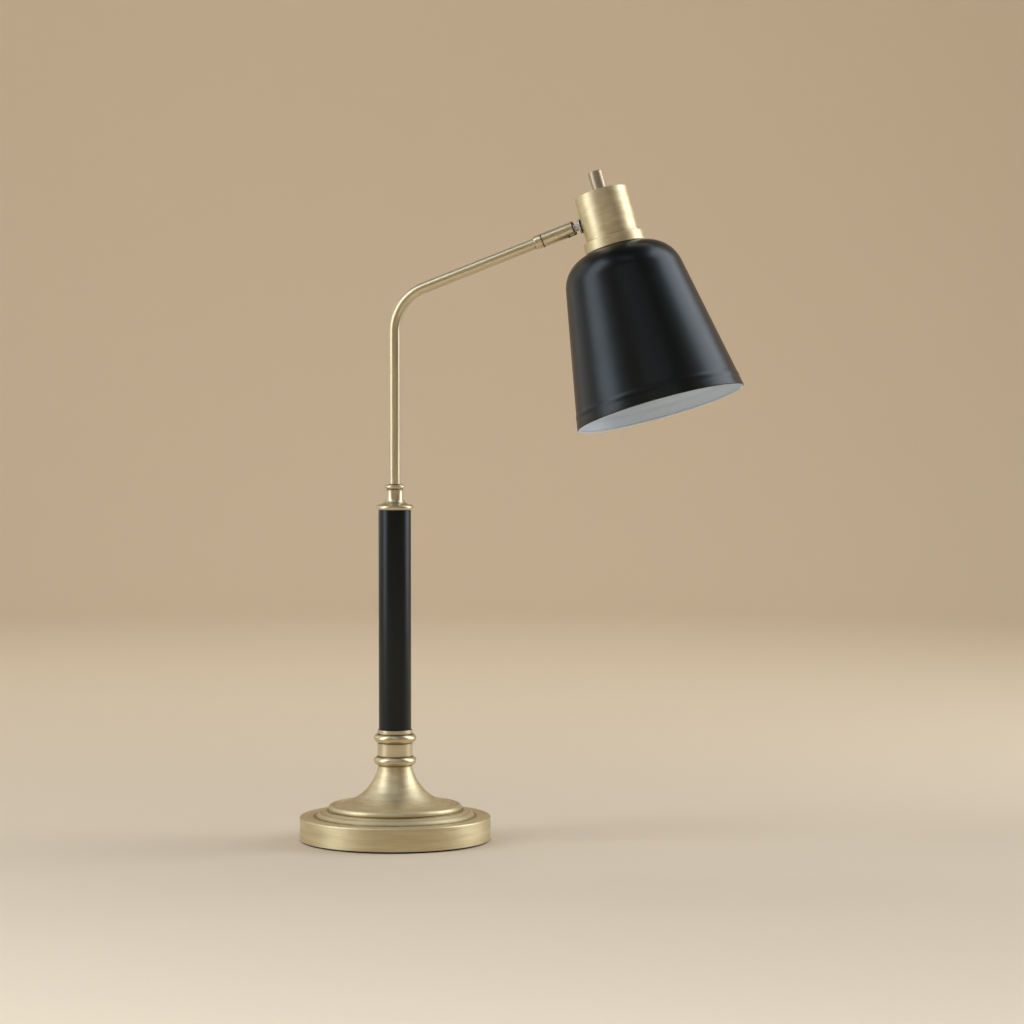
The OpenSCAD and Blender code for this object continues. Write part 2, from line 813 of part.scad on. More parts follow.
module shade_ring() {
    top = shade_z - shade_wall;
    bore_r = skirt_r + fit_gap;
    grip_r = bore_r + 3.4;
    color("ivory") at_head() rotate_extrude() polygon([
        [bore_r, top],
        [shoulder_c[0] - 0.2, top],
        [shade_ring_d / 2, top - 1.8],
        [shade_ring_d / 2, top - 3.4],
        [grip_r, top - 3.4],
        [grip_r, top - shade_ring_h],
        [bore_r, top - shade_ring_h]
    ]);
}

module socket_bracket() {
    leg_y = bracket_span / 2;
    foot_y = bracket_pitch / 2;
    foot = leg_y - foot_y + bracket_screw_d;
    color("silver") at_head() difference() {
        union() {
            translate([-bracket_w / 2, -leg_y, switch_z]) cube([bracket_w, bracket_span, bracket_t]);
            for (side = [-1, 1]) {
                translate([0, side * (leg_y - bracket_t / 2), (switch_z + bracket_t + socket_z) / 2])
                    cube([bracket_w, bracket_t, switch_z + bracket_t - socket_z], center = true);
                translate([0, side * (leg_y - foot / 2), socket_z + bracket_t / 2])
                    cube([bracket_w, foot, bracket_t], center = true);
            }
        }
        translate([0, 0, switch_z - 1]) cylinder(d = bush_d + 2 * fit_gap, h = bracket_t + 2);
        for (side = [-1, 1])
            translate([0, side * foot_y, socket_z - 1])
                cylinder(d = bracket_screw_d + 2 * fit_gap, h = bracket_t + 2);
    }
}

module bracket_screws() {
    seat_z = socket_z + bracket_t;
    color("silver") at_head() for (side = [-1, 1])
        translate([0, side * bracket_pitch / 2, seat_z]) difference() {
            union() {
                cylinder(d = bracket_screw_d * 1.8, h = 1.8);
                translate([0, 0, -screw_len]) cylinder(d = bracket_screw_d, h = screw_len + 0.5);
            }
            translate([-bracket_screw_d, -0.3, 1.1]) cube([2 * bracket_screw_d, 0.6, 1]);
        }
}

// ---- head: socket, switch and bulb ------------------------------------------

module socket_body() {
    top_r = socket_top_d / 2;
    color("white") at_head() difference() {
        rotate_extrude() polygon([
            [0, socket_z],
            [top_r, socket_z],
            [top_r, socket_step_z],
            [skirt_r, socket_step_z - (skirt_r - top_r) / 2],
            [skirt_r, shade_z + flange_t],
            [flange_d / 2, shade_z + flange_t],
            [flange_d / 2, shade_z],
            [skirt_r, shade_z],
            [skirt_r, socket_end_z],
            [shell_bore_d / 2, socket_end_z],
            [shell_bore_d / 2, shell_floor_z],
            [0, shell_floor_z]
        ]);
        for (side = [-1, 1])
            translate([0, side * bracket_pitch / 2, socket_z - screw_len])
                cylinder(d = bracket_screw_d + 2 * fit_gap, h = screw_len + 1);
    }
}

module screw_shell() {
    outer_d = shell_bore_d - 2 * fit_gap;
    length = shell_floor_z - socket_end_z - 2;
    color("goldenrod") at_head() translate([0, 0, shell_floor_z - length])
        pipe(outer_d, outer_d - 2 * screw_shell_wall, length);
}

module centre_contact() {
    color("goldenrod") at_head() {
        translate([0, 0, contact_z]) cylinder(r = 2, h = shell_floor_z - contact_z);
        translate([0, 0, contact_z - contact_t]) cylinder(r = 4, h = contact_t);
    }
}

module socket_leads() {
    color("white") at_head() for (side = [-1, 1])
        translate([8, side * 4, socket_z]) cylinder(r = lead_wire_r, h = switch_end_z - socket_z);
}

module switch_body() {
    color("dimgray") at_head() difference() {
        union() {
            translate([-switch_l / 2, -switch_w / 2, switch_end_z]) cube([switch_l, switch_w, switch_h]);
            translate([0, 0, switch_z - 1]) cylinder(d = bush_d, h = bush_h - switch_z + 1);
        }
        translate([0, 0, shaft_end_z - free_gap])
            cylinder(d = shaft_d + 2 * turn_gap, h = bush_h - shaft_end_z + 1);
    }
}

module switch_nut() {
    color("silver") at_head() pipe(switch_nut_d, bush_d + 2 * fit_gap, switch_nut_h);
}

module bulb_glass() {
    wall = 0.8;
    neck = bulb_cap_d / 2 - 0.4;
    top = bulb_cap_z - bulb_cap_len;
    globe_r = bulb_d / 2;
    globe_z = bulb_end_z + globe_r;
    turn = 40;
    way = [cos(turn), sin(turn)];
    start = [neck, top - 2];
    joint = [0, globe_z] + globe_r * way;
    flare = norm(joint - start) / 2 * tan(turn / 4);
    color("whitesmoke") at_head() rotate_extrude() difference() {
        polygon(concat(
            [[0, top], [neck, top]],
            bow(start, joint, -flare),
            arc([0, globe_z], globe_r, turn, -90, 2 * arc_steps)
        ));
        polygon(concat(
            [[0, top + 1], [neck - wall, top + 1]],
            bow(start - [wall, 0], joint - wall * way, -flare),
            arc([0, globe_z], globe_r - wall, turn, -90, 2 * arc_steps)
        ));
    }
}

module bulb_cap() {
    color("silver") at_head() translate([0, 0, bulb_cap_z - bulb_cap_len]) {
        cylinder(d = bulb_cap_d, h = bulb_cap_len - 4);
        translate([0, 0, bulb_cap_len - 4]) cylinder(d1 = bulb_cap_d, d2 = bulb_cap_d / 2, h = 4);
    }
}

module bulb_contact() {
    color("gray") at_head() translate([0, 0, bulb_cap_z]) cylinder(r = 4, h = bulb_tip_t);
}

// ---- knob -------------------------------------------------------------------

module knob() {
    color("rosybrown") at_head() difference() {
        rotate_extrude() polygon(concat(
            [[0, knob_h]],
            arc([knob_d / 2 - knob_round, knob_h - knob_round], knob_round, 90, 0, 6),
            [[knob_d / 2, knob_gap], [0, knob_gap]]
        ));
        cylinder(d = switch_nut_d + 2 * free_gap, h = knob_pocket_z);
        cylinder(d = shaft_d + 2 * fit_gap, h = shaft_top_z);
        translate([0, 0, set_screw_z]) rotate([-90, 0, 0])
            cylinder(d = set_screw_d + 2 * fit_gap, h = knob_d);
    }
}

module switch_shaft() {
    color("silver") at_head() translate([0, 0, shaft_end_z])
        cylinder(d = shaft_d, h = shaft_top_z - shaft_end_z);
}

module knob_screw() {
    tip_y = shaft_d / 2 + fit_gap;
    length = knob_d / 2 - tip_y - 0.5;
    color("dimgray") at_head() translate([0, tip_y, set_screw_z]) rotate([-90, 0, 0]) difference() {
        cylinder(d = set_screw_d, h = length);
        translate([0, 0, length - 1.4]) cylinder(d = set_screw_d * 0.55, h = 2, $fn = 6);
    }
}

// ---- the assembly -----------------------------------------------------------

felt_pad();
base_weight();
base_shell();
cord_bushing();
base_washer();
base_nut();
tie_rod();
neck_ring();
column_tube();
column_cap();
arm_tube();
swivel_collar();
swivel_clip();
swivel_sleeve();
backing_plug();
seat_springs();
ball_seat();
ball_stem();
friction_washer();
inner_washer();
stem_nut();
socket_cup();
collar_ring();
shade();
shade_ring();
socket_bracket();
bracket_screws();
socket_body();
screw_shell();
centre_contact();
socket_leads();
switch_body();
switch_nut();
bulb_glass();
bulb_cap();
bulb_contact();
knob();
switch_shaft();
knob_screw();
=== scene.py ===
"""Dome shade desk lamp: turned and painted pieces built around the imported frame.

Sizes are in metres and stand in the lamp's own frame: the origin is the middle of the
base's underside, +Z is up and the arm reaches along +X. Turned pieces are drawn as half
sections in millimetres, in a frame of their own whose Z is the axis they were turned on.
"""

import json
import logging
import math
from dataclasses import dataclass, field
from enum import Enum
from typing import Callable, Sequence

import bmesh
import bpy
from mathutils import Matrix, Vector

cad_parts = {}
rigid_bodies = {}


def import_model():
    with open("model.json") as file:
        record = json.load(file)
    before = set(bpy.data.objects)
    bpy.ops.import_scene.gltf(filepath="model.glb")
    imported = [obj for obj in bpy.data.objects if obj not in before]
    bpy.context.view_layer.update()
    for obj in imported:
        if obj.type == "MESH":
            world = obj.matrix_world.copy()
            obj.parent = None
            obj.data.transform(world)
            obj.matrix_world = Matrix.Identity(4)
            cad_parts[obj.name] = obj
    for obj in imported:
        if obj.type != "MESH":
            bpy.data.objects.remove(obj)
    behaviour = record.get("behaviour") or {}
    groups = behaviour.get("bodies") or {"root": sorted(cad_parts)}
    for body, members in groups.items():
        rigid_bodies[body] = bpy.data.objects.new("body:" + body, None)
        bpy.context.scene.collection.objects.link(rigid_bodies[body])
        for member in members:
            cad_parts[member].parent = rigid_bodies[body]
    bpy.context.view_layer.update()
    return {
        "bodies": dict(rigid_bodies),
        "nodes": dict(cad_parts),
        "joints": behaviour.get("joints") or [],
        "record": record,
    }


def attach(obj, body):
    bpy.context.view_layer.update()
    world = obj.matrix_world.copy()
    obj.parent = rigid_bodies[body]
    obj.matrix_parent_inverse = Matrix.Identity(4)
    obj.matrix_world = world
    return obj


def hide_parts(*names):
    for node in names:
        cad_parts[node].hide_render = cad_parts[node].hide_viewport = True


LOG = logging.getLogger("desk_lamp")
MM = 0.001
TINY = 1e-9

Point = tuple[float, float]
Spot = tuple[float, float, float]
Colour = tuple[float, float, float]
Mark = tuple[float, float, float, float]
Piece = bpy.types.Object
Mesh = bmesh.types.BMesh
Ring = list[bmesh.types.BMVert]
Socket = bpy.types.NodeSocket
Sockets = dict[str, Socket]


def turn(degrees: float, axis: str) -> Matrix:
    """A turn about one axis."""
    return Matrix.Rotation(math.radians(degrees), 4, axis)


# ---- sections of turned pieces ----


def arc(centre: Point, radius: float, start: float, end: float, steps: int = 24) -> list[Point]:
    """Points of a circular arc.

    Args:
        centre: The arc's centre, as radius and height.
        radius: The arc's own radius.
        start: The angle of the first point, in degrees.
        end: The angle of the last point, in degrees.
        steps: How many chords the arc has.

    Returns:
        The points from start to end, both included.
    """
    angles = [math.radians(start + (end - start) * i / steps) for i in range(steps + 1)]
    return [(centre[0] + radius * math.cos(a), centre[1] + radius * math.sin(a)) for a in angles]


def bow(first: Point, last: Point, rise: float, steps: int = 24) -> list[Point]:
    """Points of the arc between two points that rises to the left of the way between them.

    Args:
        first: Where the arc starts.
        last: Where the arc ends.
        rise: How far the arc's middle stands off the chord, negative to the right.
        steps: How many chords the arc has.

    Returns:
        The points from first to last, both included.
    """
    p, q = Vector(first), Vector(last)
    chord = (q - p).length
    left = Vector((p.y - q.y, q.x - p.x)) / chord
    radius = ((chord / 2) ** 2 + rise**2) / (2 * rise)
    centre = (p + q) / 2 + left * (rise - radius)
    start = math.degrees(math.atan2(p.y - centre.y, p.x - centre.x))
    sweep = math.degrees(2 * math.asin(chord / 2 / radius))
    return arc(centre, abs(radius), start, start - sweep, steps)


class Outline:
    """The half section of a turned piece, as corners that may be rounded.

    A corner is its radius and height and, where it is rounded, its fillet's radius. A mark is a radius, a
    height, how far it reaches, and the strength of a crease's painted shade or a groove's depth. An
    outline that starts on the axis ends there too, and any other one closes on itself.
    """

    FILLET_STEPS = 6
    FILLET_SHARE = 0.49

    def __init__(self, *corners: tuple[float, ...]) -> None:
        """Starts the outline.

        Args:
            corners: Its first corners.
        """
        self.corners = list(corners)
        self.creases: list[Mark] = []
        self.grooves: list[Mark] = []

    def to(self, *corners: tuple[float, ...]) -> "Outline":
        """Adds corners or a curve's points, and returns the outline."""
        self.corners.extend(corners)
        return self

    def crease(self, r: float, z: float, reach: float = 0.5, strength: float = 1.0) -> "Outline":
        """Marks a place where a dark line of painted shade shows, in a hollow corner or between parts."""
        self.creases.append((r, z, reach, strength))
        return self

    def groove(self, r: float, z: float, reach: float, depth: float, strength: float) -> "Outline":
        """Cuts a soft fine groove into the surface near a place, with a line of painted shade inside it.
        """
        self.grooves.append((r, z, reach, depth))
        return self.crease(r, z, reach, strength)

    @property
    def closed(self) -> bool:
        """Whether the last corner joins the first."""
        return self.corners[0][0] > 0

    def points(self) -> list[Point]:
        """Rounds the corners.

        Returns:
            The outline's points.
        """
        count = len(self.corners)
        result: list[Point] = []
        for i, corner in enumerate(self.corners):
            r, z, fillet = (*corner, 0.0)[:3]
            if not fillet or (not self.closed and i in (0, count - 1)):
                result.append((r, z))
                continue
            here = Vector((r, z))
            before = Vector(self.corners[i - 1][:2]) - here
            after = Vector(self.corners[(i + 1) % count][:2]) - here
            half = before.angle(after) / 2
            room = min(before.length, after.length) * self.FILLET_SHARE
            reach = min(fillet / math.tan(half), room)
            radius = reach * math.tan(half)
            inwards = (before.normalized() + after.normalized()).normalized()
            middle = here + inwards * (radius / math.sin(half))
            first = here + before.normalized() * reach - middle
            sweep = -first.angle_signed(here + after.normalized() * reach - middle)
            start = math.degrees(math.atan2(first.y, first.x))
            result += arc(middle, radius, start, start + math.degrees(sweep), self.FILLET_STEPS)
        return result


class Section:
    """An outline's points, with its grooves cut and points added where lines of painted shade fade."""

    EDGE_WIDTH = 0.55
    # the HOLLOW values give the painted shade that each sharp hollow corner gets, as a crease mark
    HOLLOW_TURN = math.radians(24)
    HOLLOW_REACH = 0.45
    HOLLOW_STRENGTH = 0.8
    FADE_STEPS = (-2.6, -1.8, -1.2, -0.8, -0.45, -0.2, 0, 0.2, 0.45, 0.8, 1.2, 1.8, 2.6)
    LEAST_CHORD = 0.25
    LEAST_STEP = 0.06
    LEAST_DIP = 0.002

    def __init__(self, outline: Outline) -> None:
        """Works out the points, and adds a line of painted shade at each sharp hollow corner.

        Args:
            outline: The outline.
        """
        self.closed = outline.closed
        self.points = outline.points()
        pairs = zip(self.points, self.points[1:] + self.points[:1])
        self.hand = 1 if sum(p[0] * q[1] - q[0] * p[1] for p, q in pairs) > 0 else -1
        hollow = [p for i, p in enumerate(self.points) if self._turn(i)[0] < -self.HOLLOW_TURN]
        mark = (self.HOLLOW_REACH, self.HOLLOW_STRENGTH)
        self.creases = outline.creases + [(*p, *mark) for p in hollow]
        self._add_fade_steps()
        self._cut(outline.grooves)

    def _turn(self, i: int) -> Point:
        """How far the section turns outwards at a point, and the mean chord there.

        Args:
            i: The point's number.

        Returns:
            The turn, in radians and negative at a hollow corner, and the length.
        """
        last = len(self.points) - 1
        before = Vector(self.points[i]) - Vector(self.points[i - 1])
        after = Vector(self.points[i + 1 if i < last else 0]) - Vector(self.points[i])
        at_end = not self.closed and i in (0, last)
        if at_end or min(before.length, after.length) < TINY:
            return 0.0, 1.0
        return -before.angle_signed(after) * self.hand, (before.length + after.length) / 2

    def _add_fade_steps(self) -> None:
        """Adds points to the chords where a crease's line of painted shade fades."""
        result: list[Point] = []
        for i, point in enumerate(self.points):
            result.append(point)
            at_end = i == len(self.points) - 1
            p, q = Vector(point), Vector(self.points[0 if at_end else i + 1])
            length = (q - p).length
            if length < self.LEAST_CHORD or (at_end and not self.closed):
                continue
            way = (q - p) / length
            stops = set()
            for r, z, reach, _ in self.creases:
                at = (Vector((r, z)) - p).dot(way)
                if (Vector((r, z)) - p - way * at).length <= 2 * reach:
                    stops.update(round(at + step * reach, 3) for step in self.FADE_STEPS)
            last = 0.0
            for stop in sorted(stops):
                if stop - last > self.LEAST_STEP and length - stop > self.LEAST_STEP:
                    result.append(tuple(p + way * stop))
                    last = stop
        self.points = result

    def _cut(self, grooves: Sequence[Mark]) -> None:
        """Moves the points into the piece where a groove is.

        Args:
            grooves: The grooves.
        """
        result: list[Point] = []
        for i, (r, z) in enumerate(self.points):
            dip = sum(self._shares((r, z), grooves))
            way = Vector(self.points[(i + 1) % len(self.points)]) - Vector(self.points[i - 1])
            if dip > self.LEAST_DIP and way.length > TINY:
                into = Vector((-way.y, way.x)).normalized() * (self.hand * dip)
                r, z = r + into.x, z + into.y
            result.append((r, z))
        self.points = result

    @staticmethod
    def _shares(point: Point, marks: Sequence[Mark]) -> list[float]:
        """How much of each mark's strength or depth a point has."""
        r, z = point
        return [top * math.exp(-(math.hypot(r - x, z - y) / reach) ** 2) for x, y, reach, top in marks]

    def edge(self, i: int) -> float:
        """How much a point is a convex edge: 0 where flat or hollow, 1 at a fine edge."""
        bend, length = self._turn(i)
        return min(max(bend / length * self.EDGE_WIDTH, 0.0), 1.0)

    def dark(self, i: int) -> float:
        """How dark the creases' painted shade is at a point, from 0 to 1."""
        return max(self._shares(self.points[i], self.creases), default=0.0)


# ---- meshes ----


class MeshMaker:
    """Builds the lamp's meshes with bmesh. Each frame is where the piece's own one stands."""

    SHARP_TURN = math.radians(32)
    TIP_RADIUS = 1e-6

    @staticmethod
    def turned(name: str, outline: Outline, frame: Matrix, segments: int = 160) -> Piece:
        """A piece turned about its frame's Z axis.

        Args:
            name: The piece's name.
            outline: Its half section, in millimetres.
            frame: Its frame.
            segments: How many steps go round the piece.

        Returns:
            The new object, smooth apart from its sharp corners.
        """
        bm = bmesh.new()
        # edge holds how much a vertex is a convex edge, for wear; crease holds how much painted shade
        # darkens it
        for layer in ("edge", "crease"):
            bm.verts.layers.float.new(layer)
        section, circle = Section(outline), MeshMaker._circle(segments)
        rings = []
        for i, (r, z) in enumerate(section.points):
            way = circle if r > MeshMaker.TIP_RADIUS else circle[:1]
            spots = [(r * MM * x, r * MM * y, z * MM) for x, y in way]
            rings.append(MeshMaker._ring(bm, spots, edge=section.edge(i), crease=section.dark(i)))
        return MeshMaker._skinned(name, bm, rings, outline.closed, frame)

    @staticmethod
    def swept(
        name: str, path: list[Vector], radii: Point, creases: Sequence[Point], sides: int = 48
    ) -> Piece:
        """A tube along a path that lies in the XZ plane.

        Args:
            name: The piece's name.
            path: The centre line's points, in metres.
            radii: The tube's outer radius and its bore's.
            creases: Each line of painted shade's way along the tube, and its reach.
            sides: How many steps go round the tube.

        Returns:
            The new object, with the straightened tube's places in the attribute "place".
        """
        bm = bmesh.new()
        place = bm.verts.layers.float_vector.new("place")
        # crease holds how much painted shade darkens a vertex near the tube's ends
        bm.verts.layers.float.new("crease")
        across = Vector((0, 1, 0))
        walls: list[list[Ring]] = []
        for radius in radii:
            flat = [(radius * x, radius * y) for x, y in MeshMaker._circle(sides)]
            rings, run = [], 0.0
            for before, point, after in zip(path[:1] + path, path, path[1:] + path[-1:]):
                run += (point - before).length
                side = across.cross((after - before).normalized())
                dark = max(math.exp(-(((run - at) / reach) ** 2)) for at, reach in creases)
                spots = [point + x * side + y * across for x, y in flat]
                ring = MeshMaker._ring(bm, spots, crease=dark)
                for vertex, (x, y) in zip(ring, flat):
                    vertex[place] = (x, y, run)
                rings.append(ring)
            walls.append(rings)
        return MeshMaker._skinned(name, bm, walls[0] + walls[1][::-1], True, Matrix.Identity(4))

    @staticmethod
    def _circle(steps: int) -> list[Point]:
        """The places round a circle of radius 1."""
        angles = [2 * math.pi * k / steps for k in range(steps)]
        return [(math.cos(a), math.sin(a)) for a in angles]

    @staticmethod
    def _ring(bm: Mesh, spots: Sequence[Vector | Spot], **values: float) -> Ring:
        """Adds a ring of vertices.

        Args:
            bm: The mesh.
            spots: Where the vertices go.
            values: What the ring's vertices hold in each layer, by its name.

        Returns:
            The vertices.
        """
        ring = [bm.verts.new(spot) for spot in spots]
        for name, value in values.items():
            layer = bm.verts.layers.float[name]
            for vertex in ring:
                vertex[layer] = value
        return ring

    @staticmethod
    def _skinned(name: str, bm: Mesh, rings: list[Ring], closed: bool, frame: Matrix) -> Piece:
        """Joins rings with faces.

        Args:
            name: The piece's name.
            bm: The mesh, which is freed.
            rings: The rings in order; one of a single vertex is a tip.
            closed: Whether the last ring joins the first.
            frame: The piece's frame.

        Returns:
            The new object.
        """
        for low, high in zip(rings, rings[1:] + (rings[:1] if closed else [])):
            steps = max(len(low), len(high))
            for k in range(steps):
                n = (k + 1) % steps
                corners = [ring[at % len(ring)] for ring, at in ((low, k), (low, n), (high, n), (high, k))]
                bm.faces.new(tuple(dict.fromkeys(corners)))
        bmesh.ops.recalc_face_normals(bm, faces=bm.faces)
        return MeshMaker._finished(name, bm, frame)

    @staticmethod
    def _finished(name: str, bm: Mesh, frame: Matrix) -> Piece:
        """Turns a bmesh into a smooth object.

        Args:
            name: The piece's name.
            bm: The mesh, which is freed.
            frame: The piece's frame.

        Returns:
            The new object.
        """
        mesh = bpy.data.meshes.new(name)
        for face in bm.faces:
            face.smooth = True
        bm.to_mesh(mesh)
        bm.free()
        mesh.set_sharp_from_angle(angle=MeshMaker.SHARP_TURN)
        piece = bpy.data.objects.new(name, mesh)
        bpy.context.scene.collection.objects.link(piece)
        piece.matrix_world = frame
        return piece

    @staticmethod
    def drill(piece: Piece, frame: Matrix, radius: float, length: float) -> None:
        """Cuts a round hole into a piece.

        Args:
            piece: The piece.
            frame: Where the hole starts, with Z along it.
            radius: The hole's radius, in millimetres.
            length: How far the hole reaches, in millimetres.
        """
        pin = Outline((0, 0), (radius, 0), (radius, length), (0, length))
        MeshMaker._cut(piece, MeshMaker.turned("cutter", pin, frame, 64))

    @staticmethod
    def mill(piece: Piece, frame: Matrix, low: Vector, high: Vector) -> None:
        """Cuts a straight slot into a piece.

        Args:
            piece: The piece.
            frame: The slot's frame.
            low: The slot's lowest corner in that frame, in metres.
            high: Its highest corner.
        """
        bm = bmesh.new()
        place = Matrix.Translation((low + high) / 2) @ Matrix.Diagonal((*(high - low), 1))
        bmesh.ops.create_cube(bm, size=1, matrix=place)
        MeshMaker._cut(piece, MeshMaker._finished("cutter", bm, frame))

    @staticmethod
    def _cut(piece: Piece, cutter: Piece) -> None:
        """Takes a cutter's shape out of a piece.

        Args:
            piece: The piece.
            cutter: The cutter, which is removed.
        """
        cut = piece.modifiers.new("hole", "BOOLEAN")
        cut.operation = "DIFFERENCE"
        cut.solver = "EXACT"
        cut.object = cutter
        bpy.context.view_layer.update()
        depsgraph = bpy.context.evaluated_depsgraph_get()
        mesh = bpy.data.meshes.new_from_object(piece.evaluated_get(depsgraph))
        mesh.name = piece.name
        piece.modifiers.clear()
        piece.data = mesh
        mesh.set_sharp_from_angle(angle=MeshMaker.SHARP_TURN)
        bpy.data.objects.remove(cutter)


# ---- shader nodes ----


class Graph:
    """The nodes of one material, group or world, with short ways to add and join them."""

    def __init__(self, tree: bpy.types.NodeTree) -> None:
        """Keeps the tree that nodes are added to."""
        self.tree = tree

    @classmethod
    def of(cls, owner: bpy.types.Material | bpy.types.World) -> "Graph":
        """The empty graph of a new material or world.

        Args:
            owner: The material or world.

        Returns:
            Its graph.
        """
        owner.use_nodes = True
        owner.node_tree.nodes.clear()
        return cls(owner.node_tree)

    def add(self, kind: str, inputs: dict | None = None, **settings: object) -> bpy.types.Node:
        """Adds a node.

        Args:
            kind: The node's type, without the word ShaderNode.
            inputs: Values or sockets for its inputs, by name or number.
            settings: The node's own settings.

        Returns:
            The new node.
        """
        node = self.tree.nodes.new(kind if kind.startswith("Node") else "ShaderNode" + kind)
        for key, value in settings.items():
            setattr(node, key, value)
        for key, value in (inputs or {}).items():
            if isinstance(value, Socket):
                self.tree.links.new(value, node.inputs[key])
            else:
                node.inputs[key].default_value = value
        return node

    def math(self, operation: str, *values: Socket | float) -> Socket:
        """Works a number out from others."""
        return self.add("Math", dict(enumerate(values)), operation=operation).outputs[0]

    def vector(self, operation: str, *values: Socket | Spot) -> Socket:
        """Works a vector out from others."""
        return self.add("VectorMath", dict(enumerate(values)), operation=operation).outputs[0]

    def noise(self, at: Socket, scale: Socket | float, detail: float, rough: float = 0.5) -> Socket:
        """Adds a noise from 0 to 1."""
        inputs = {"Vector": at, "Scale": scale, "Detail": detail, "Roughness": rough}
        return self.add("TexNoise", inputs).outputs["Fac"]

    def ramp(self, value: Socket, low: float, high: float, top: float = 1.0) -> Socket:
        """Spreads the values from low to high over 0 to top."""
        inputs = {"Value": value, "From Min": low, "From Max": high, "To Max": top}
        return self.add("MapRange", inputs).outputs[0]

    def mix(self, share: Socket, first: Socket | Colour, last: Socket | Colour) -> Socket:
        """Mixes two colours.

        Args:
            share: How much of the last one there is.
            first: The first colour, as a socket or numbers.
            last: The last colour.

        Returns:
            The mixed colour's socket.
        """
        a, b = (c if isinstance(c, Socket) else (*c, 1) for c in (first, last))
        return self.add("Mix", {"Factor": share, "A": a, "B": b}, data_type="RGBA").outputs["Result"]

    def effect(self, effect: "Effect", **inputs: Socket | float) -> Sockets:
        """Adds one of the shared groups, which is made the first time.

        Args:
            effect: Which effect.
            inputs: The group's inputs by name.

        Returns:
            Its outputs by name.
        """
        if effect.value not in bpy.data.node_groups:
            EffectGroup(effect)
        tree = bpy.data.node_groups[effect.value]
        return self.add("Group", inputs, node_tree=tree).outputs


class Effect(Enum):
    """The shader groups that the finishes share: kinds of grain, then marks of use, then the painted shade
    of hollow corners.
    """

    SPUN = "spun lines"
    DRAWN = "drawn lines"
    PEEL = "paint peel"
    CAST = "cast lumps"
    FELT = "felt fibres"
    HANDLING = "handling marks"
    WEAR = "edge wear"
    # painted shade: dark lines in hollow corners and creases, where shade falls
    PATINA = "corner patina"


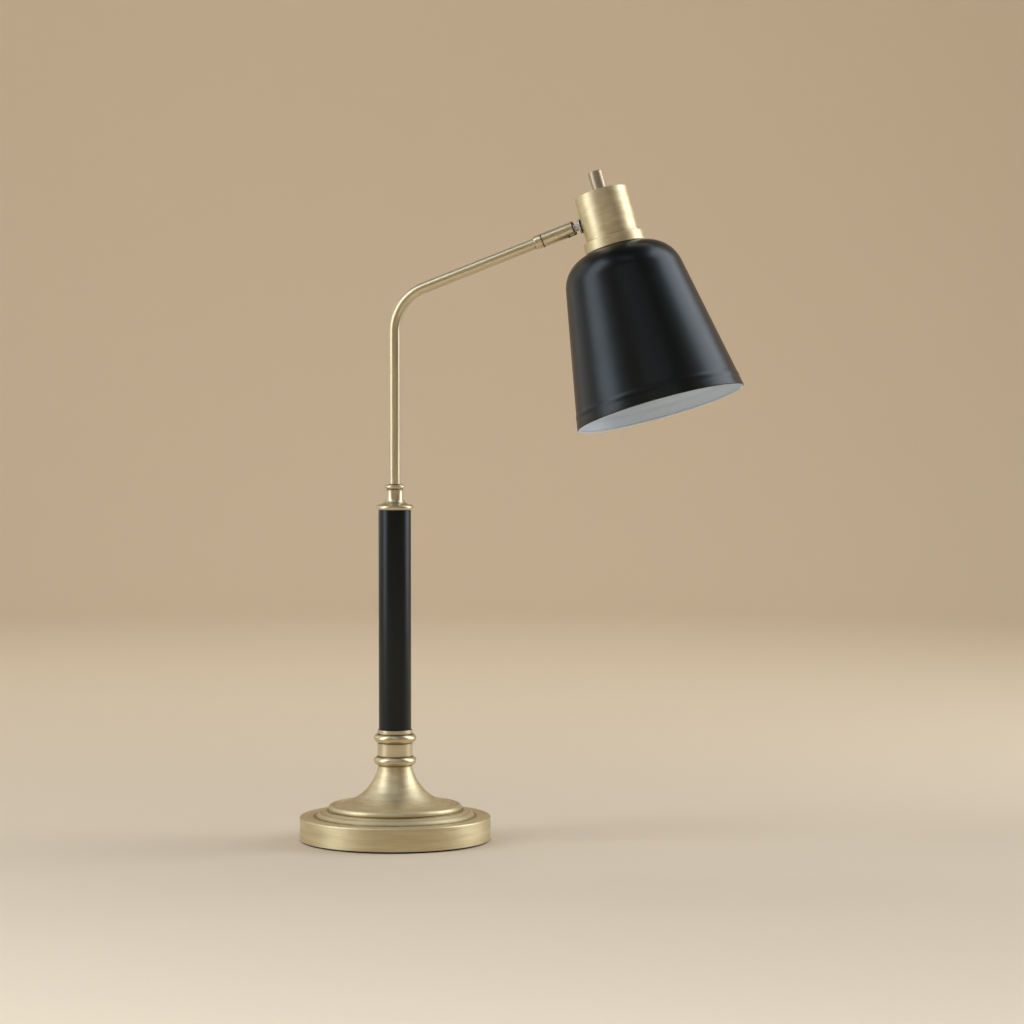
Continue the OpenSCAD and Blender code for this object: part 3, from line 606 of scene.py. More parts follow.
class EffectGroup(Graph):
    """The graph of one shared group.

    Every group takes a Place. A grain also takes a Size and puts out a Height for bumps and a
    Tone for colours, and the others put out a Mask, all from 0 to 1.
    """

    MASKS = {
        Effect.HANDLING: ("Place", "Size"),
        Effect.WEAR: ("Place", "Edge", "Amount"),
        Effect.PATINA: ("Place", "Crease", "Amount"),
    }

    def __init__(self, effect: Effect) -> None:
        """Makes the group.

        Args:
            effect: Which effect it makes.
        """
        super().__init__(bpy.data.node_groups.new(effect.value, "ShaderNodeTree"))
        outputs = ("Mask",) if effect in self.MASKS else ("Height", "Tone")
        sockets = [(title, "INPUT") for title in self.MASKS.get(effect, ("Place", "Size"))]
        for title, way in sockets + [(title, "OUTPUT") for title in outputs]:
            kind = "NodeSocketVector" if title == "Place" else "NodeSocketFloat"
            self.tree.interface.new_socket(name=title, in_out=way, socket_type=kind)
        self.given = self.add("NodeGroupInput").outputs
        self.place = self.given["Place"]
        self.add("NodeGroupOutput", getattr(self, "_" + effect.name.lower())())

    def _fine(self, factor: float = 1.0) -> Socket:
        """A factor divided by the given size, as a noise's scale."""
        return self.math("DIVIDE", factor, self.given["Size"])

    def _spun(self) -> Sockets:
        """Lines that run round the Z axis, as a buffing wheel leaves them.

        Returns:
            The outputs.
        """
        flat = self.vector("MULTIPLY", self.place, (1, 1, 0))
        radius = self.add("VectorMath", {0: flat}, operation="LENGTH").outputs["Value"]
        way = self.vector("MULTIPLY", self.vector("NORMALIZE", flat), (1.6, 1.6, 1.6))
        way = self.add("SeparateXYZ", {0: way}).outputs
        height = self.add("SeparateXYZ", {0: self.place}).outputs["Z"]
        result = {}
        for title, factor, detail in (("Height", 1.0, 3.0), ("Tone", 0.24, 4.0)):
            density = self._fine(factor)
            up = self.math("MULTIPLY", height, density)
            at = self.add("CombineXYZ", {0: way["X"], 1: way["Y"], 2: up}).outputs[0]
            inputs = {"Vector": at, "W": self.math("MULTIPLY", radius, density)}
            inputs |= {"Scale": 1.0, "Detail": detail, "Roughness": 0.62}
            result[title] = self.add("TexNoise", inputs, noise_dimensions="4D").outputs["Fac"]
        return result

    def _drawn(self) -> Sockets:
        """Fine lines along the Z axis, as a drawing die leaves them.

        Returns:
            The outputs.
        """
        long = self.vector("MULTIPLY", self.place, (1, 1, 0.02))
        lines = self.noise(long, self._fine(), 3.0)
        return {"Height": lines, "Tone": self.noise(long, self._fine(0.3), 3.0)}

    def _peel(self) -> Sockets:
        """The shallow ripple of sprayed paint or moulded plastic, with faint broad patches."""
        ripple = self.noise(self.place, self._fine(), 2.0)
        return {"Height": ripple, "Tone": self.noise(self.place, 24.0, 4.0)}

    def _cast(self) -> Sockets:
        """The lumps and pits of a sand casting.

        Returns:
            The outputs.
        """
        lumps = self.noise(self.place, self._fine(), 6.0, 0.7)
        pits = self.add("TexVoronoi", {"Vector": self.place, "Scale": self._fine(0.4)})
        return {"Height": self.math("MULTIPLY", lumps, pits.outputs["Distance"]), "Tone": lumps}

    def _felt(self) -> Sockets:
        """Matted short fibres.

        Returns:
            The outputs.
        """
        bent = {"Vector": self.place, "Scale": self._fine(0.3), "Detail": 2.0}
        bent = self.add("TexNoise", bent).outputs["Color"]
        at = self.vector("MULTIPLY_ADD", bent, (0.004, 0.004, 0.004), self.place)
        fibres = self.noise(at, self._fine(), 8.0, 0.75)
        return {"Height": fibres, "Tone": fibres}

    def _handling(self) -> Sockets:
        """Broad smudges with short fine scratches.

        Returns:
            The outputs.
        """
        smudge = self.ramp(self.noise(self.place, self._fine(), 5.0, 0.55), 0.42, 0.72)
        turned = {"Vector": self.place, "Rotation": (0.6, 0.9, 0.3), "Scale": (1, 14, 1)}
        turned = self.add("Mapping", turned).outputs[0]
        lines = self.ramp(self.noise(turned, self._fine(6.0), 3.0), 0.66, 0.72)
        return {"Mask": self.math("MINIMUM", self.math("MULTIPLY_ADD", lines, 0.35, smudge), 1.0)}

    def _wear(self) -> Sockets:
        """Fine convex edges, broken up by noise.

        Returns:
            The outputs.
        """
        broken = self.ramp(self.noise(self.place, 260.0, 4.0), 0.35, 0.65)
        rubbed = self.math("MULTIPLY", self.given["Edge"], broken)
        return {"Mask": self.math("MULTIPLY", rubbed, self.given["Amount"])}

    def _patina(self) -> Sockets:
        """Painted shade: dark lines in hollow corners and creases, made uneven by noise.

        Returns:
            The outputs.
        """
        uneven = self.math("MULTIPLY_ADD", self.noise(self.place, 140.0, 4.0), 0.7, 0.65)
        dark = self.math("MULTIPLY", self.given["Crease"], uneven)
        dark = self.math("MULTIPLY", dark, self.given["Amount"])
        return {"Mask": self.math("MINIMUM", dark, 1.0)}


# ---- finishes ----


@dataclass(frozen=True)
class Finish:
    """A surface finish: colour, gloss, grain, handling marks, rubbed edges and painted shade in hollow
    corners.

    The colour runs from colour to low_colour with the grain's tone, to edge_colour where an edge is rubbed
    and to the crease colour where painted shade darkens hollow corners. Sizes are in metres.
    """

    title: str
    slot: str
    colour: Colour
    low_colour: Colour
    roughness: float
    metallic: float = 0.0
    grain: Effect = Effect.PEEL
    grain_size: float = 0.0012
    depth: float = 0.00001
    tone_share: float = 0.5
    rough_spread: float = 0.06
    mark_rough: float = 0.05
    mark_size: float = 0.03
    edge_colour: Colour | None = None
    wear: float = 0.0
    # the crease colour, the strength of the corner marks and their roughness paint shade into hollow
    # corners and creases
    crease_colour: Colour | None = None
    patina: float = 0.0
    patina_rough: float = 0.25
    settings: dict[str, float | tuple[float, ...]] = field(default_factory=dict)
    radial: bool = False
    straightened: bool = False

    def material(self) -> bpy.types.Material:
        """Builds the finish's material the first time.

        Returns:
            The material.
        """
        if self.title in bpy.data.materials:
            return bpy.data.materials[self.title]
        material = bpy.data.materials.new(self.title)
        g = Graph.of(material)
        edge, crease = (g.add("Attribute", attribute_name=n).outputs["Fac"] for n in ("edge", "crease"))
        if self.straightened:
            place = g.add("Attribute", attribute_name="place").outputs["Vector"]
        else:
            place = g.add("TexCoord").outputs["Object"]
        grain = g.effect(self.grain, Place=place, Size=self.grain_size)
        marks = g.effect(Effect.HANDLING, Place=place, Size=self.mark_size)["Mask"]
        worn = g.effect(Effect.WEAR, Place=place, Edge=edge, Amount=self.wear)["Mask"]
        # painted shade: hollow corners and creases are mixed towards the crease colour
        dark = g.effect(Effect.PATINA, Place=place, Crease=crease, Amount=self.patina)["Mask"]

        tone = g.ramp(grain["Tone"], 0.3, 0.7, self.tone_share)
        colour = g.mix(tone, self.colour, self.low_colour)
        colour = g.mix(worn, colour, self.edge_colour or self.colour)
        colour = g.mix(dark, colour, self.crease_colour or self.low_colour)
        rough = self.roughness - self.rough_spread
        rough = g.math("MULTIPLY_ADD", grain["Height"], 2 * self.rough_spread, rough)
        rough = g.math("MULTIPLY_ADD", marks, self.mark_rough, rough)
        rough = g.math("MULTIPLY_ADD", dark, self.patina_rough, rough)
        bump = {"Height": grain["Height"], "Distance": self.depth, "Strength": 1.0}
        inputs = {"Base Color": colour, "Roughness": rough, "Metallic": self.metallic}
        inputs["Normal"] = g.add("Bump", bump).outputs[0]
        if self.radial:
            inputs["Tangent"] = g.add("Tangent", direction_type="RADIAL", axis="Z").outputs[0]
        surface = g.add("BsdfPrincipled", inputs | self.settings)
        g.add("OutputMaterial", {"Surface": surface.outputs[0]})
        return material


@dataclass(frozen=True)
class Finishes:
    """Every finish on the lamp."""

    brass: Finish = Finish(
        "brushed brass", "brass", (0.78, 0.68, 0.455), (0.58, 0.485, 0.295), 0.48, metallic=1.0,
        grain=Effect.SPUN, grain_size=0.0011, tone_share=0.9, rough_spread=0.08,
        edge_colour=(0.78, 0.71, 0.52), wear=0.6, crease_colour=(0.2, 0.125, 0.045), patina=1.0,
        settings={"Anisotropic": 0.35, "Anisotropic Rotation": 0.25}, radial=True,
    )
    brass_tube: Finish = Finish(
        "drawn brass", "brass", (0.66, 0.575, 0.4), (0.58, 0.5, 0.33), 0.36, metallic=1.0,
        grain=Effect.DRAWN, grain_size=0.0007, depth=0.000002, tone_share=0.4, rough_spread=0.04,
        mark_rough=0.06, mark_size=0.02, crease_colour=(0.09, 0.06, 0.022), patina=1.0,
        straightened=True,
    )
    turned_brass: Finish = Finish(
        "turned brass", "brass", (0.72, 0.63, 0.44), (0.59, 0.505, 0.325), 0.33, metallic=1.0,
        grain=Effect.SPUN, grain_size=0.0008, depth=0.000004, tone_share=0.7, rough_spread=0.05,
        edge_colour=(0.78, 0.71, 0.52), wear=0.6, crease_colour=(0.1, 0.065, 0.02), patina=1.0,
        radial=True,
    )
    # painted shade: a near-black coat on the sleeve's bore, slot and mouth rim, where shade falls
    brass_bore: Finish = Finish(
        "blackened bore", "brass", (0.02, 0.016, 0.01), (0.012, 0.01, 0.006), 0.55, metallic=0.3,
        grain=Effect.SPUN, grain_size=0.0008,
    )
    black: Finish = Finish(
        "satin black paint", "black_paint", (0.0017, 0.0018, 0.002), (0.0012, 0.0013, 0.0015), 0.31,
        grain_size=0.0009, tone_share=0.8, rough_spread=0.04, mark_rough=0.04,
        edge_colour=(0.02, 0.02, 0.02), wear=0.5,
        settings={"Specular IOR Level": 0.4, "Specular Tint": (0.82, 0.92, 1.0, 1.0)},
    )
    white_paint: Finish = Finish(
        "white shade lining", "black_paint", (0.71, 0.81, 0.94), (0.68, 0.78, 0.91), 0.34,
        depth=0.000012, rough_spread=0.04,
    )
    nickel: Finish = Finish(
        "satin nickel", "nickel", (0.76, 0.735, 0.69), (0.62, 0.6, 0.56), 0.38, metallic=1.0
    )
    dark_nickel: Finish = Finish(
        "dark nickel", "dark_nickel", (0.47, 0.395, 0.29), (0.38, 0.31, 0.22), 0.46, metallic=1.0,
        grain=Effect.SPUN, grain_size=0.0009, depth=0.000003, rough_spread=0.05,
        edge_colour=(0.66, 0.6, 0.5), wear=0.5,
        settings={"Anisotropic": 0.35, "Anisotropic Rotation": 0.25}, radial=True,
    )
    steel: Finish = Finish(
        "zinc plated steel", "steel", (0.55, 0.55, 0.56), (0.46, 0.46, 0.48), 0.32, metallic=1.0,
        grain_size=0.0015, depth=0.000008, mark_rough=0.12,
    )
    dark_steel: Finish = Finish(
        "blackened steel", "dark_steel", (0.06, 0.06, 0.065), (0.04, 0.04, 0.045), 0.36,
        metallic=1.0, grain_size=0.001, depth=0.000006,
    )
    iron: Finish = Finish(
        "cast iron", "cast_iron", (0.07, 0.068, 0.066), (0.035, 0.034, 0.034), 0.62, metallic=0.7,
        grain=Effect.CAST, grain_size=0.0016, depth=0.00025, rough_spread=0.12,
    )
    felt: Finish = Finish(
        "black felt", "felt", (0.018, 0.018, 0.018), (0.008, 0.008, 0.008), 0.95,
        grain=Effect.FELT, grain_size=0.0004, depth=0.00018,
        settings={"Sheen Weight": 0.4, "Sheen Roughness": 0.5},
    )
    black_plastic: Finish = Finish(
        "black plastic", "black_plastic", (0.016, 0.016, 0.017), (0.011, 0.011, 0.012), 0.42,
        grain_size=0.0007, depth=0.00002, mark_rough=0.08,
    )
    white_plastic: Finish = Finish(
        "white plastic", "white_plastic", (0.78, 0.77, 0.74), (0.72, 0.71, 0.68), 0.4,
        grain_size=0.0009, settings={"Subsurface Weight": 0.05, "Subsurface Scale": 0.002},
    )
    acetal: Finish = Finish(
        "dark acetal", "bearing_plastic", (0.02, 0.02, 0.021), (0.014, 0.014, 0.015), 0.4,
        grain_size=0.0008, depth=0.000008,
    )
    porcelain: Finish = Finish(
        "unglazed porcelain", "ceramic", (0.78, 0.76, 0.71), (0.68, 0.66, 0.61), 0.55,
        grain=Effect.CAST, depth=0.00003, rough_spread=0.1,
    )
    contact_brass: Finish = Finish(
        "stamped brass", "contact_brass", (0.7, 0.5, 0.25), (0.58, 0.4, 0.19), 0.3, metallic=1.0,
        grain_size=0.002, depth=0.000008, mark_rough=0.1,
    )
    frosted: Finish = Finish(
        "frosted glass", "bulb_glass", (0.9, 0.9, 0.88), (0.86, 0.86, 0.84), 0.5,
        grain_size=0.0006, depth=0.000006,
        settings={"Transmission Weight": 0.55, "IOR": 1.47, "Coat Weight": 0.5, "Coat Roughness": 0.08},
    )
    bulb_metal: Finish = Finish(
        "drawn aluminium", "bulb_metal", (0.68, 0.68, 0.68), (0.6, 0.6, 0.6), 0.34, metallic=1.0,
        grain_size=0.002,
    )
    solder: Finish = Finish(
        "dull solder", "solder", (0.4, 0.4, 0.4), (0.3, 0.3, 0.3), 0.5, metallic=1.0,
        grain=Effect.CAST, grain_size=0.001, depth=0.00006,
    )


# ---- places ----


@dataclass(frozen=True)
class Places:
    """Where the sub-assemblies' own frames stand, in metres and degrees."""

    crossing: float = 0.4665
    arm_rise: float = 21.1
    slot_turn: float = 12.0
    ball_at: float = 0.1637
    stem_bend: float = 4.5
    head_roll: float = 6.3
    head_reach: float = 0.0337
    head_lift: float = 0.0228

    def arm(self) -> Matrix:
        """Where the arm's centre lines cross, with X along the arm."""
        return Matrix.Translation((0, 0, self.crossing)) @ turn(-self.arm_rise, "Y")

    def sleeve(self) -> Matrix:
        """The same, with the sleeve's slot at -Z."""
        return self.arm() @ turn(-self.slot_turn, "X")

    def stem(self) -> Matrix:
        """The ball's centre, with X along the stem."""
        return self.sleeve() @ Matrix.Translation((self.ball_at, 0, 0)) @ turn(self.stem_bend, "Y")

    def head(self) -> Matrix:
        """The middle of the cup's top, with Z along the head's axis."""
        shift = Matrix.Translation((self.head_reach, 0, self.head_lift))
        return self.stem() @ turn(self.head_roll, "X") @ shift


UPRIGHT = Matrix.Identity(4)
TO_X = turn(90, "Y")
TO_BACK = turn(-90, "X")


# ---- sub-assemblies ----


class SubAssembly:
    """What every sub-assembly shares: finishes, places and a way to dress pieces."""

    body: str = "stand"

    def __init__(self, finishes: Finishes, places: Places, nodes: dict[str, Piece]) -> None:
        """Keeps what the pieces need.

        Args:
            finishes: The lamp's finishes.
            places: The lamp's frames.
            nodes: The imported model's objects by name.
        """
        self.finishes = finishes
        self.places = places
        self.nodes = nodes

    def own(self, piece: Piece, finish: Finish, replaced: str) -> None:
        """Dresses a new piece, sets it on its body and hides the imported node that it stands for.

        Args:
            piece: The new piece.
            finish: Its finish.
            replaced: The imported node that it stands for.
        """
        piece.data.materials.clear()
        piece.data.materials.append(finish.material())
        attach(piece, self.body)
        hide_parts(replaced)
        LOG.info("%s: %s on %s", piece.name, finish.title, self.body)

    @staticmethod
    def coat(piece: Piece, finish: Finish, chosen: Callable[[Vector, Vector], bool]) -> None:
        """Gives some of a piece's faces a second finish.

        Args:
            piece: The piece, which has its first finish.
            finish: The second finish.
            chosen: Says from a face's centre and normal whether it takes the second finish.
        """
        mesh = piece.data
        mesh.materials.append(finish.material())
        faces = [face for face in mesh.polygons if chosen(face.center, face.normal)]
        for face in faces:
            face.material_index = len(mesh.materials) - 1
        LOG.info("%s: %s on %d faces", piece.name, finish.title, len(faces))

    def dress(self, finish: Finish, *nodes: str) -> None:
        """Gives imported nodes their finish.

        Args:
            finish: The finish.
            nodes: The nodes' names.
        """
        for node in nodes:
            mesh = self.nodes[node].data
            mesh.materials.clear()
            mesh.materials.append(finish.material())


@dataclass(frozen=True)
class BaseSizes:
    """Sizes of the weighted base, in millimetres."""

    radius: float = 82.5
    felt: float = 1.5
    felt_inset: float = 1.5
    felt_rounds: Point = (0.25, 0.2)
    disc_top: float = 21.2
    disc_round: float = 1.5
    wall: float = 1.2
    cushion_outer: float = 69.2
    cushion_inner: float = 58.0
    cushion_top: float = 26.0
    cushion_swell: float = 1.5
    step_centre: Point = (54.9, 28.5)
    step_radius: float = 2.8
    step_arc: Point = (-40, 88)
    cove_top: float = 65.6
    cove_radius: float = 41.0014
    cove_start: float = 269
    rod_hole: float = 5.05
    top_wall: float = 1.5
    neck_edge: float = 14.5
    inlet_height: float = 8.5
    inlet_hole: float = 4.55
    inlet_drill: Point = (4, 8)
    # a groove's last number is the strength of the painted shade in it
    cushion_groove: tuple[float, ...] = (63.9, 25.05, 0.8, 0.4, 0.5)
    cove_groove: tuple[float, ...] = (53.6, 31.32, 0.5, 0.22, 0.35)


class Base(SubAssembly):
    """The spun cover, its felt, and what is inside."""

    body = "stand"
    sizes = BaseSizes()
    LEAST_ROUND = 0.01
    CORNER_STEPS = 10
    CUSHION_STEPS = 28
    STEP_STEPS = 22
    COVE_STEPS = 72

    def _side(self, inset: float, top: float) -> list[Point]:
        """The cover's side from its lower edge to a height.

        Args:
            inset: How far the line lies inside the outer one.
            top: The height where the line ends.

        Returns:
            The line's points.
        """
        s = self.sizes
        corner = max(s.disc_round, inset)
        cove = (s.step_centre[0], s.step_centre[1] + s.step_radius + s.cove_radius)
        reach = s.cove_radius + inset
        end = 180 + math.degrees(math.asin((cove[1] - top) / reach))
        foot = (s.cushion_outer - inset, s.disc_top - inset)
        crest = (s.cushion_inner - inset, s.cushion_top - inset)
        middle, fillet = (s.radius - corner, s.disc_top - corner), max(corner - inset, self.LEAST_ROUND)
        return [
            (s.radius - inset, s.felt),
            *arc(middle, fillet, 0, 90, self.CORNER_STEPS),
            *bow(foot, crest, -s.cushion_swell, self.CUSHION_STEPS),
            *arc(s.step_centre, s.step_radius - inset, *s.step_arc, self.STEP_STEPS),
            *arc(cove, reach, s.cove_start, end, self.COVE_STEPS),
        ]

    def build(self) -> None:
        """Builds the cover and the felt, and dresses the inner pieces."""
        s, f = self.sizes, self.finishes
        under = s.cove_top - s.top_wall
        outline = Outline(*self._side(0, s.cove_top), (s.rod_hole, s.cove_top), (s.rod_hole, under))
        outline.to(*self._side(s.wall, under)[::-1])
        # the grooves are cut; they and the creases get lines of painted shade in the hollows
        outline.groove(*s.cushion_groove).groove(*s.cove_groove)
        outline.crease(s.cushion_outer, s.disc_top, 1.7, 0.75)
        outline.crease(s.cushion_inner, s.cushion_top, 1.3, 0.7).crease(s.neck_edge, s.cove_top, 0.8)
        cover = MeshMaker.turned("base_cover", outline, UPRIGHT, segments=224)
        start, length = s.inlet_drill
        hole = Matrix.Translation((0, (s.radius - start) * MM, s.inlet_height * MM)) @ TO_BACK
        MeshMaker.drill(cover, hole, s.inlet_hole, length)
        self.own(cover, f.brass, "base_shell")

        edge, rounds = s.radius - s.felt_inset, s.felt_rounds
        felt = Outline((0, 0), (edge, 0, rounds[0]), (edge, s.felt, rounds[1]), (0, s.felt))
        self.own(MeshMaker.turned("felt_disc", felt, UPRIGHT), f.felt, "felt_pad")

        self.dress(f.iron, "base_weight")
        self.dress(f.black_plastic, "cord_bushing")
        self.dress(f.steel, "base_washer", "base_nut", "tie_rod")


@dataclass(frozen=True)
class ColumnSizes:
    """Sizes of the neck, the column and its cap, in millimetres."""

    neck_bottom: float = 65.6
    neck_top: float = 96.0
    neck_radius: float = 15.15
    bead_radius: float = 3.65
    bead_centre: float = 14.7
    bead_pitch: float = 19.4
    line_below: float = 1.2
    line_radius: float = 0.4
    rod_hole: float = 5.05
    spigot: float = 12.75
    spigot_length: float = 5.0
    spigot_round: float = 0.4
    tube_radius: float = 14.0
    tube_wall: float = 1.2
    tube_length: float = 190.0
    tube_gap: float = 0.02
    tube_round: float = 0.3
    cap_bead: Point = (14.2, 2.15)
    shoulder_hollow: float = 1.2
    shoulder_inset: float = 0.3
    cap_neck_radius: float = 6.95
    cap_neck_from: float = 9.6
    cap_neck_to: float = 18.1
    top_bead: Point = (6.9, 1.7)
    arm_hole: float = 4.8
    arm_recess: Point = (5.45, 0.8)
    arm_hole_depth: float = 13.0
    cone_depth: float = 15.5


class Column(SubAssembly):
    """The neck ring, the black tube and the cap that holds the arm."""

    body = "stand"
    sizes = ColumnSizes()

    def _neck(self) -> Outline:
        """Draws the neck ring, with its two beads and the fine line at its top.

        Returns:
            Its section.
        """
        s = self.sizes
        tuck = math.degrees(math.acos((s.neck_radius - s.bead_centre) / s.bead_radius))
        rise = s.bead_radius * math.sin(math.radians(tuck))
        first = s.neck_bottom + s.bead_radius
        second = first + s.bead_pitch
        end = s.neck_top + s.spigot_length
        outline = Outline(
            (s.rod_hole, s.neck_bottom),
            *arc((s.bead_centre, first), s.bead_radius, -90, tuck, 26),
            *arc((s.bead_centre, second), s.bead_radius, -tuck, tuck, 26),
            *arc((s.neck_radius, s.neck_top - s.line_below), s.line_radius, 270, 90, 10),
            (s.neck_radius, s.neck_top, 0.25),
            (s.spigot, s.neck_top),
            (s.spigot, end, s.spigot_round),
            (s.rod_hole, end),
        )
        # lines of painted shade where the tube meets the neck and in the beads' hollows
        outline.crease(s.tube_radius, s.neck_top, 0.4).crease(s.bead_centre, s.neck_bottom, 0.8)
        for height in (first + rise, second - rise, second + rise):
            outline.crease(s.neck_radius, height, 0.85)
        return outline

    def _cap(self) -> Outline:
        """Draws the cap: lower bead, hollow shoulder, neck and top bead.

        Returns:
            Its section.
        """
        s = self.sizes
        foot = s.neck_top + s.tube_length
        low = foot - s.spigot_length
        neck = foot + s.cap_neck_to
        bead_r, bead_z = s.cap_bead
        top_r, top_z = s.top_bead
        end = neck + 2 * top_z
        recess, recess_depth = s.arm_recess
        shoulder = (bead_r - s.shoulder_inset, foot + 2 * bead_z)
        outline = Outline(
            (s.rod_hole, low),
            (s.spigot, low, s.spigot_round),
            (s.spigot, foot),
            *arc((bead_r, foot + bead_z), bead_z, -90, 90, 26),
            *bow(shoulder, (s.cap_neck_radius, foot + s.cap_neck_from), s.shoulder_hollow),
            (s.cap_neck_radius, neck),
            *arc((top_r, neck + top_z), top_z, -90, 90, 22),
            (recess, end, 0.15),
            (recess, end - recess_depth),
            (s.arm_hole, end - recess_depth),
            (s.arm_hole, end - s.arm_hole_depth),
            (s.rod_hole, end - s.cone_depth),
        )
        # lines of painted shade in the arm's recess, at the tube and under the top bead
        outline.crease(recess, end - 0.5, 0.6).crease(s.tube_radius, foot, 0.4)
        return outline.crease(s.cap_neck_radius, neck, 1.0)

    def build(self) -> None:
        """Builds the column's three pieces."""
        s, f = self.sizes, self.finishes
        low, high = s.neck_top + s.tube_gap, s.neck_top + s.tube_length
        bore = s.tube_radius - s.tube_wall
        tube = Outline((bore, low), (s.tube_radius, low, s.tube_round))
        tube.to((s.tube_radius, high, s.tube_round), (bore, high))
        for name, outline, finish, node in (
            ("neck_turning", self._neck(), f.turned_brass, "neck_ring"),
            ("column_barrel", tube, f.black, "column_tube"),
            ("cap_turning", self._cap(), f.turned_brass, "column_cap"),
        ):
            self.own(MeshMaker.turned(name, outline, UPRIGHT), finish, node)


@dataclass(frozen=True)
class ArmSizes:
    """Sizes of the bent arm, in metres."""

    radius: float = 0.00475
    bore: float = 0.00375
    seat: float = 0.2945
    cap_end: float = 0.3075
    collar: float = 0.1317
    bend_radius: float = 0.04
    end: float = 0.1367
    # cap_reach and collar_reach: how far the painted shade reaches where the tube enters the cap and the
    # collar
    cap_reach: float = 0.0007
    collar_reach: float = 0.0006


class Arm(SubAssembly):
    """The bent tube."""

    body = "stand"
    sizes = ArmSizes()
    BEND_STEPS = 48
    RISE_STEPS = 10
    STRAIGHT_STEPS = 8
    # extra rings where that painted shade fades
    CAP_STEPS = (-0.0012, -0.0006, -0.0002, 0.0001, 0.0004, 0.0007, 0.001, 0.0014, 0.002)
    COLLAR_STEPS = (-0.002, -0.0012, -0.0006, -0.0002, 0.0002)

    def _path(self) -> list[Vector]:
        """Draws the tube's centre line from its seat in the cap to its end in the collar.

        Returns:
            The line's points.
        """
        s, p = self.sizes, self.places
        bend = math.radians(90 - p.arm_rise)
        low = p.crossing - s.bend_radius * math.tan(bend / 2)
        near = [s.cap_end + step for step in self.CAP_STEPS]
        steps = self.RISE_STEPS
        rise = [near[-1] + (low - near[-1]) * i / steps for i in range(1, steps)]
        path = [Vector((0, 0, z)) for z in (s.seat, *near, *rise)]
        curve = arc((s.bend_radius, low), s.bend_radius, 180, 90 + p.arm_rise, self.BEND_STEPS)
        path += [Vector((x, 0, z)) for x, z in curve]
        start, stop = path[-1].copy(), p.arm() @ Vector((s.end, 0, 0))
        along = (stop - start).normalized()
        shown = stop - along * (s.end - s.collar)
        steps = self.STRAIGHT_STEPS
        path += [start.lerp(stop, i / steps) for i in range(1, steps)]
        path += [shown + along * step for step in self.COLLAR_STEPS]
        return path + [stop]

    def build(self) -> None:
        """Builds the tube."""
        s, path = self.sizes, self._path()
        length = sum((q - p).length for p, q in zip(path, path[1:]))
        # painted shade where the tube enters the cap and the collar
        creases = ((s.cap_end - s.seat, s.cap_reach), (length - s.end + s.collar, s.collar_reach))
        tube = MeshMaker.swept("arm_bend", path, (s.radius, s.bore), creases)
        self.own(tube, self.finishes.brass_tube, "arm_tube")


@dataclass(frozen=True)
class SwivelSizes:
    """Sizes of the swivel, in millimetres: radii, and places along the arm from its crossing."""

    radius: float = 6.1
    arm_seat: float = 4.8
    lead: float = 2.5
    collar_from: float = 131.7
    collar_to: float = 138.5
    arm_end: float = 136.7
    stub: float = 4.5
    stub_end: float = 144.9
    clip_groove: Point = (3.9, 143.1)
    clip_width: float = 0.8
    sleeve_from: float = 138.9
    turning_bore: float = 4.56
    shoulder: float = 142.9
    bore: float = 5.25
    ball_at: float = 163.7
    ball_fit: float = 5.16
    lip: Point = (5.4, 167.7)
    # rim: where the mouth's lip starts, and how far back from the mouth the outside takes painted shade
    rim: float = 1.1
    slot: float = 3.5
    slot_floor: float = 1.0
    past: float = 1.0
    skin: float = 0.35


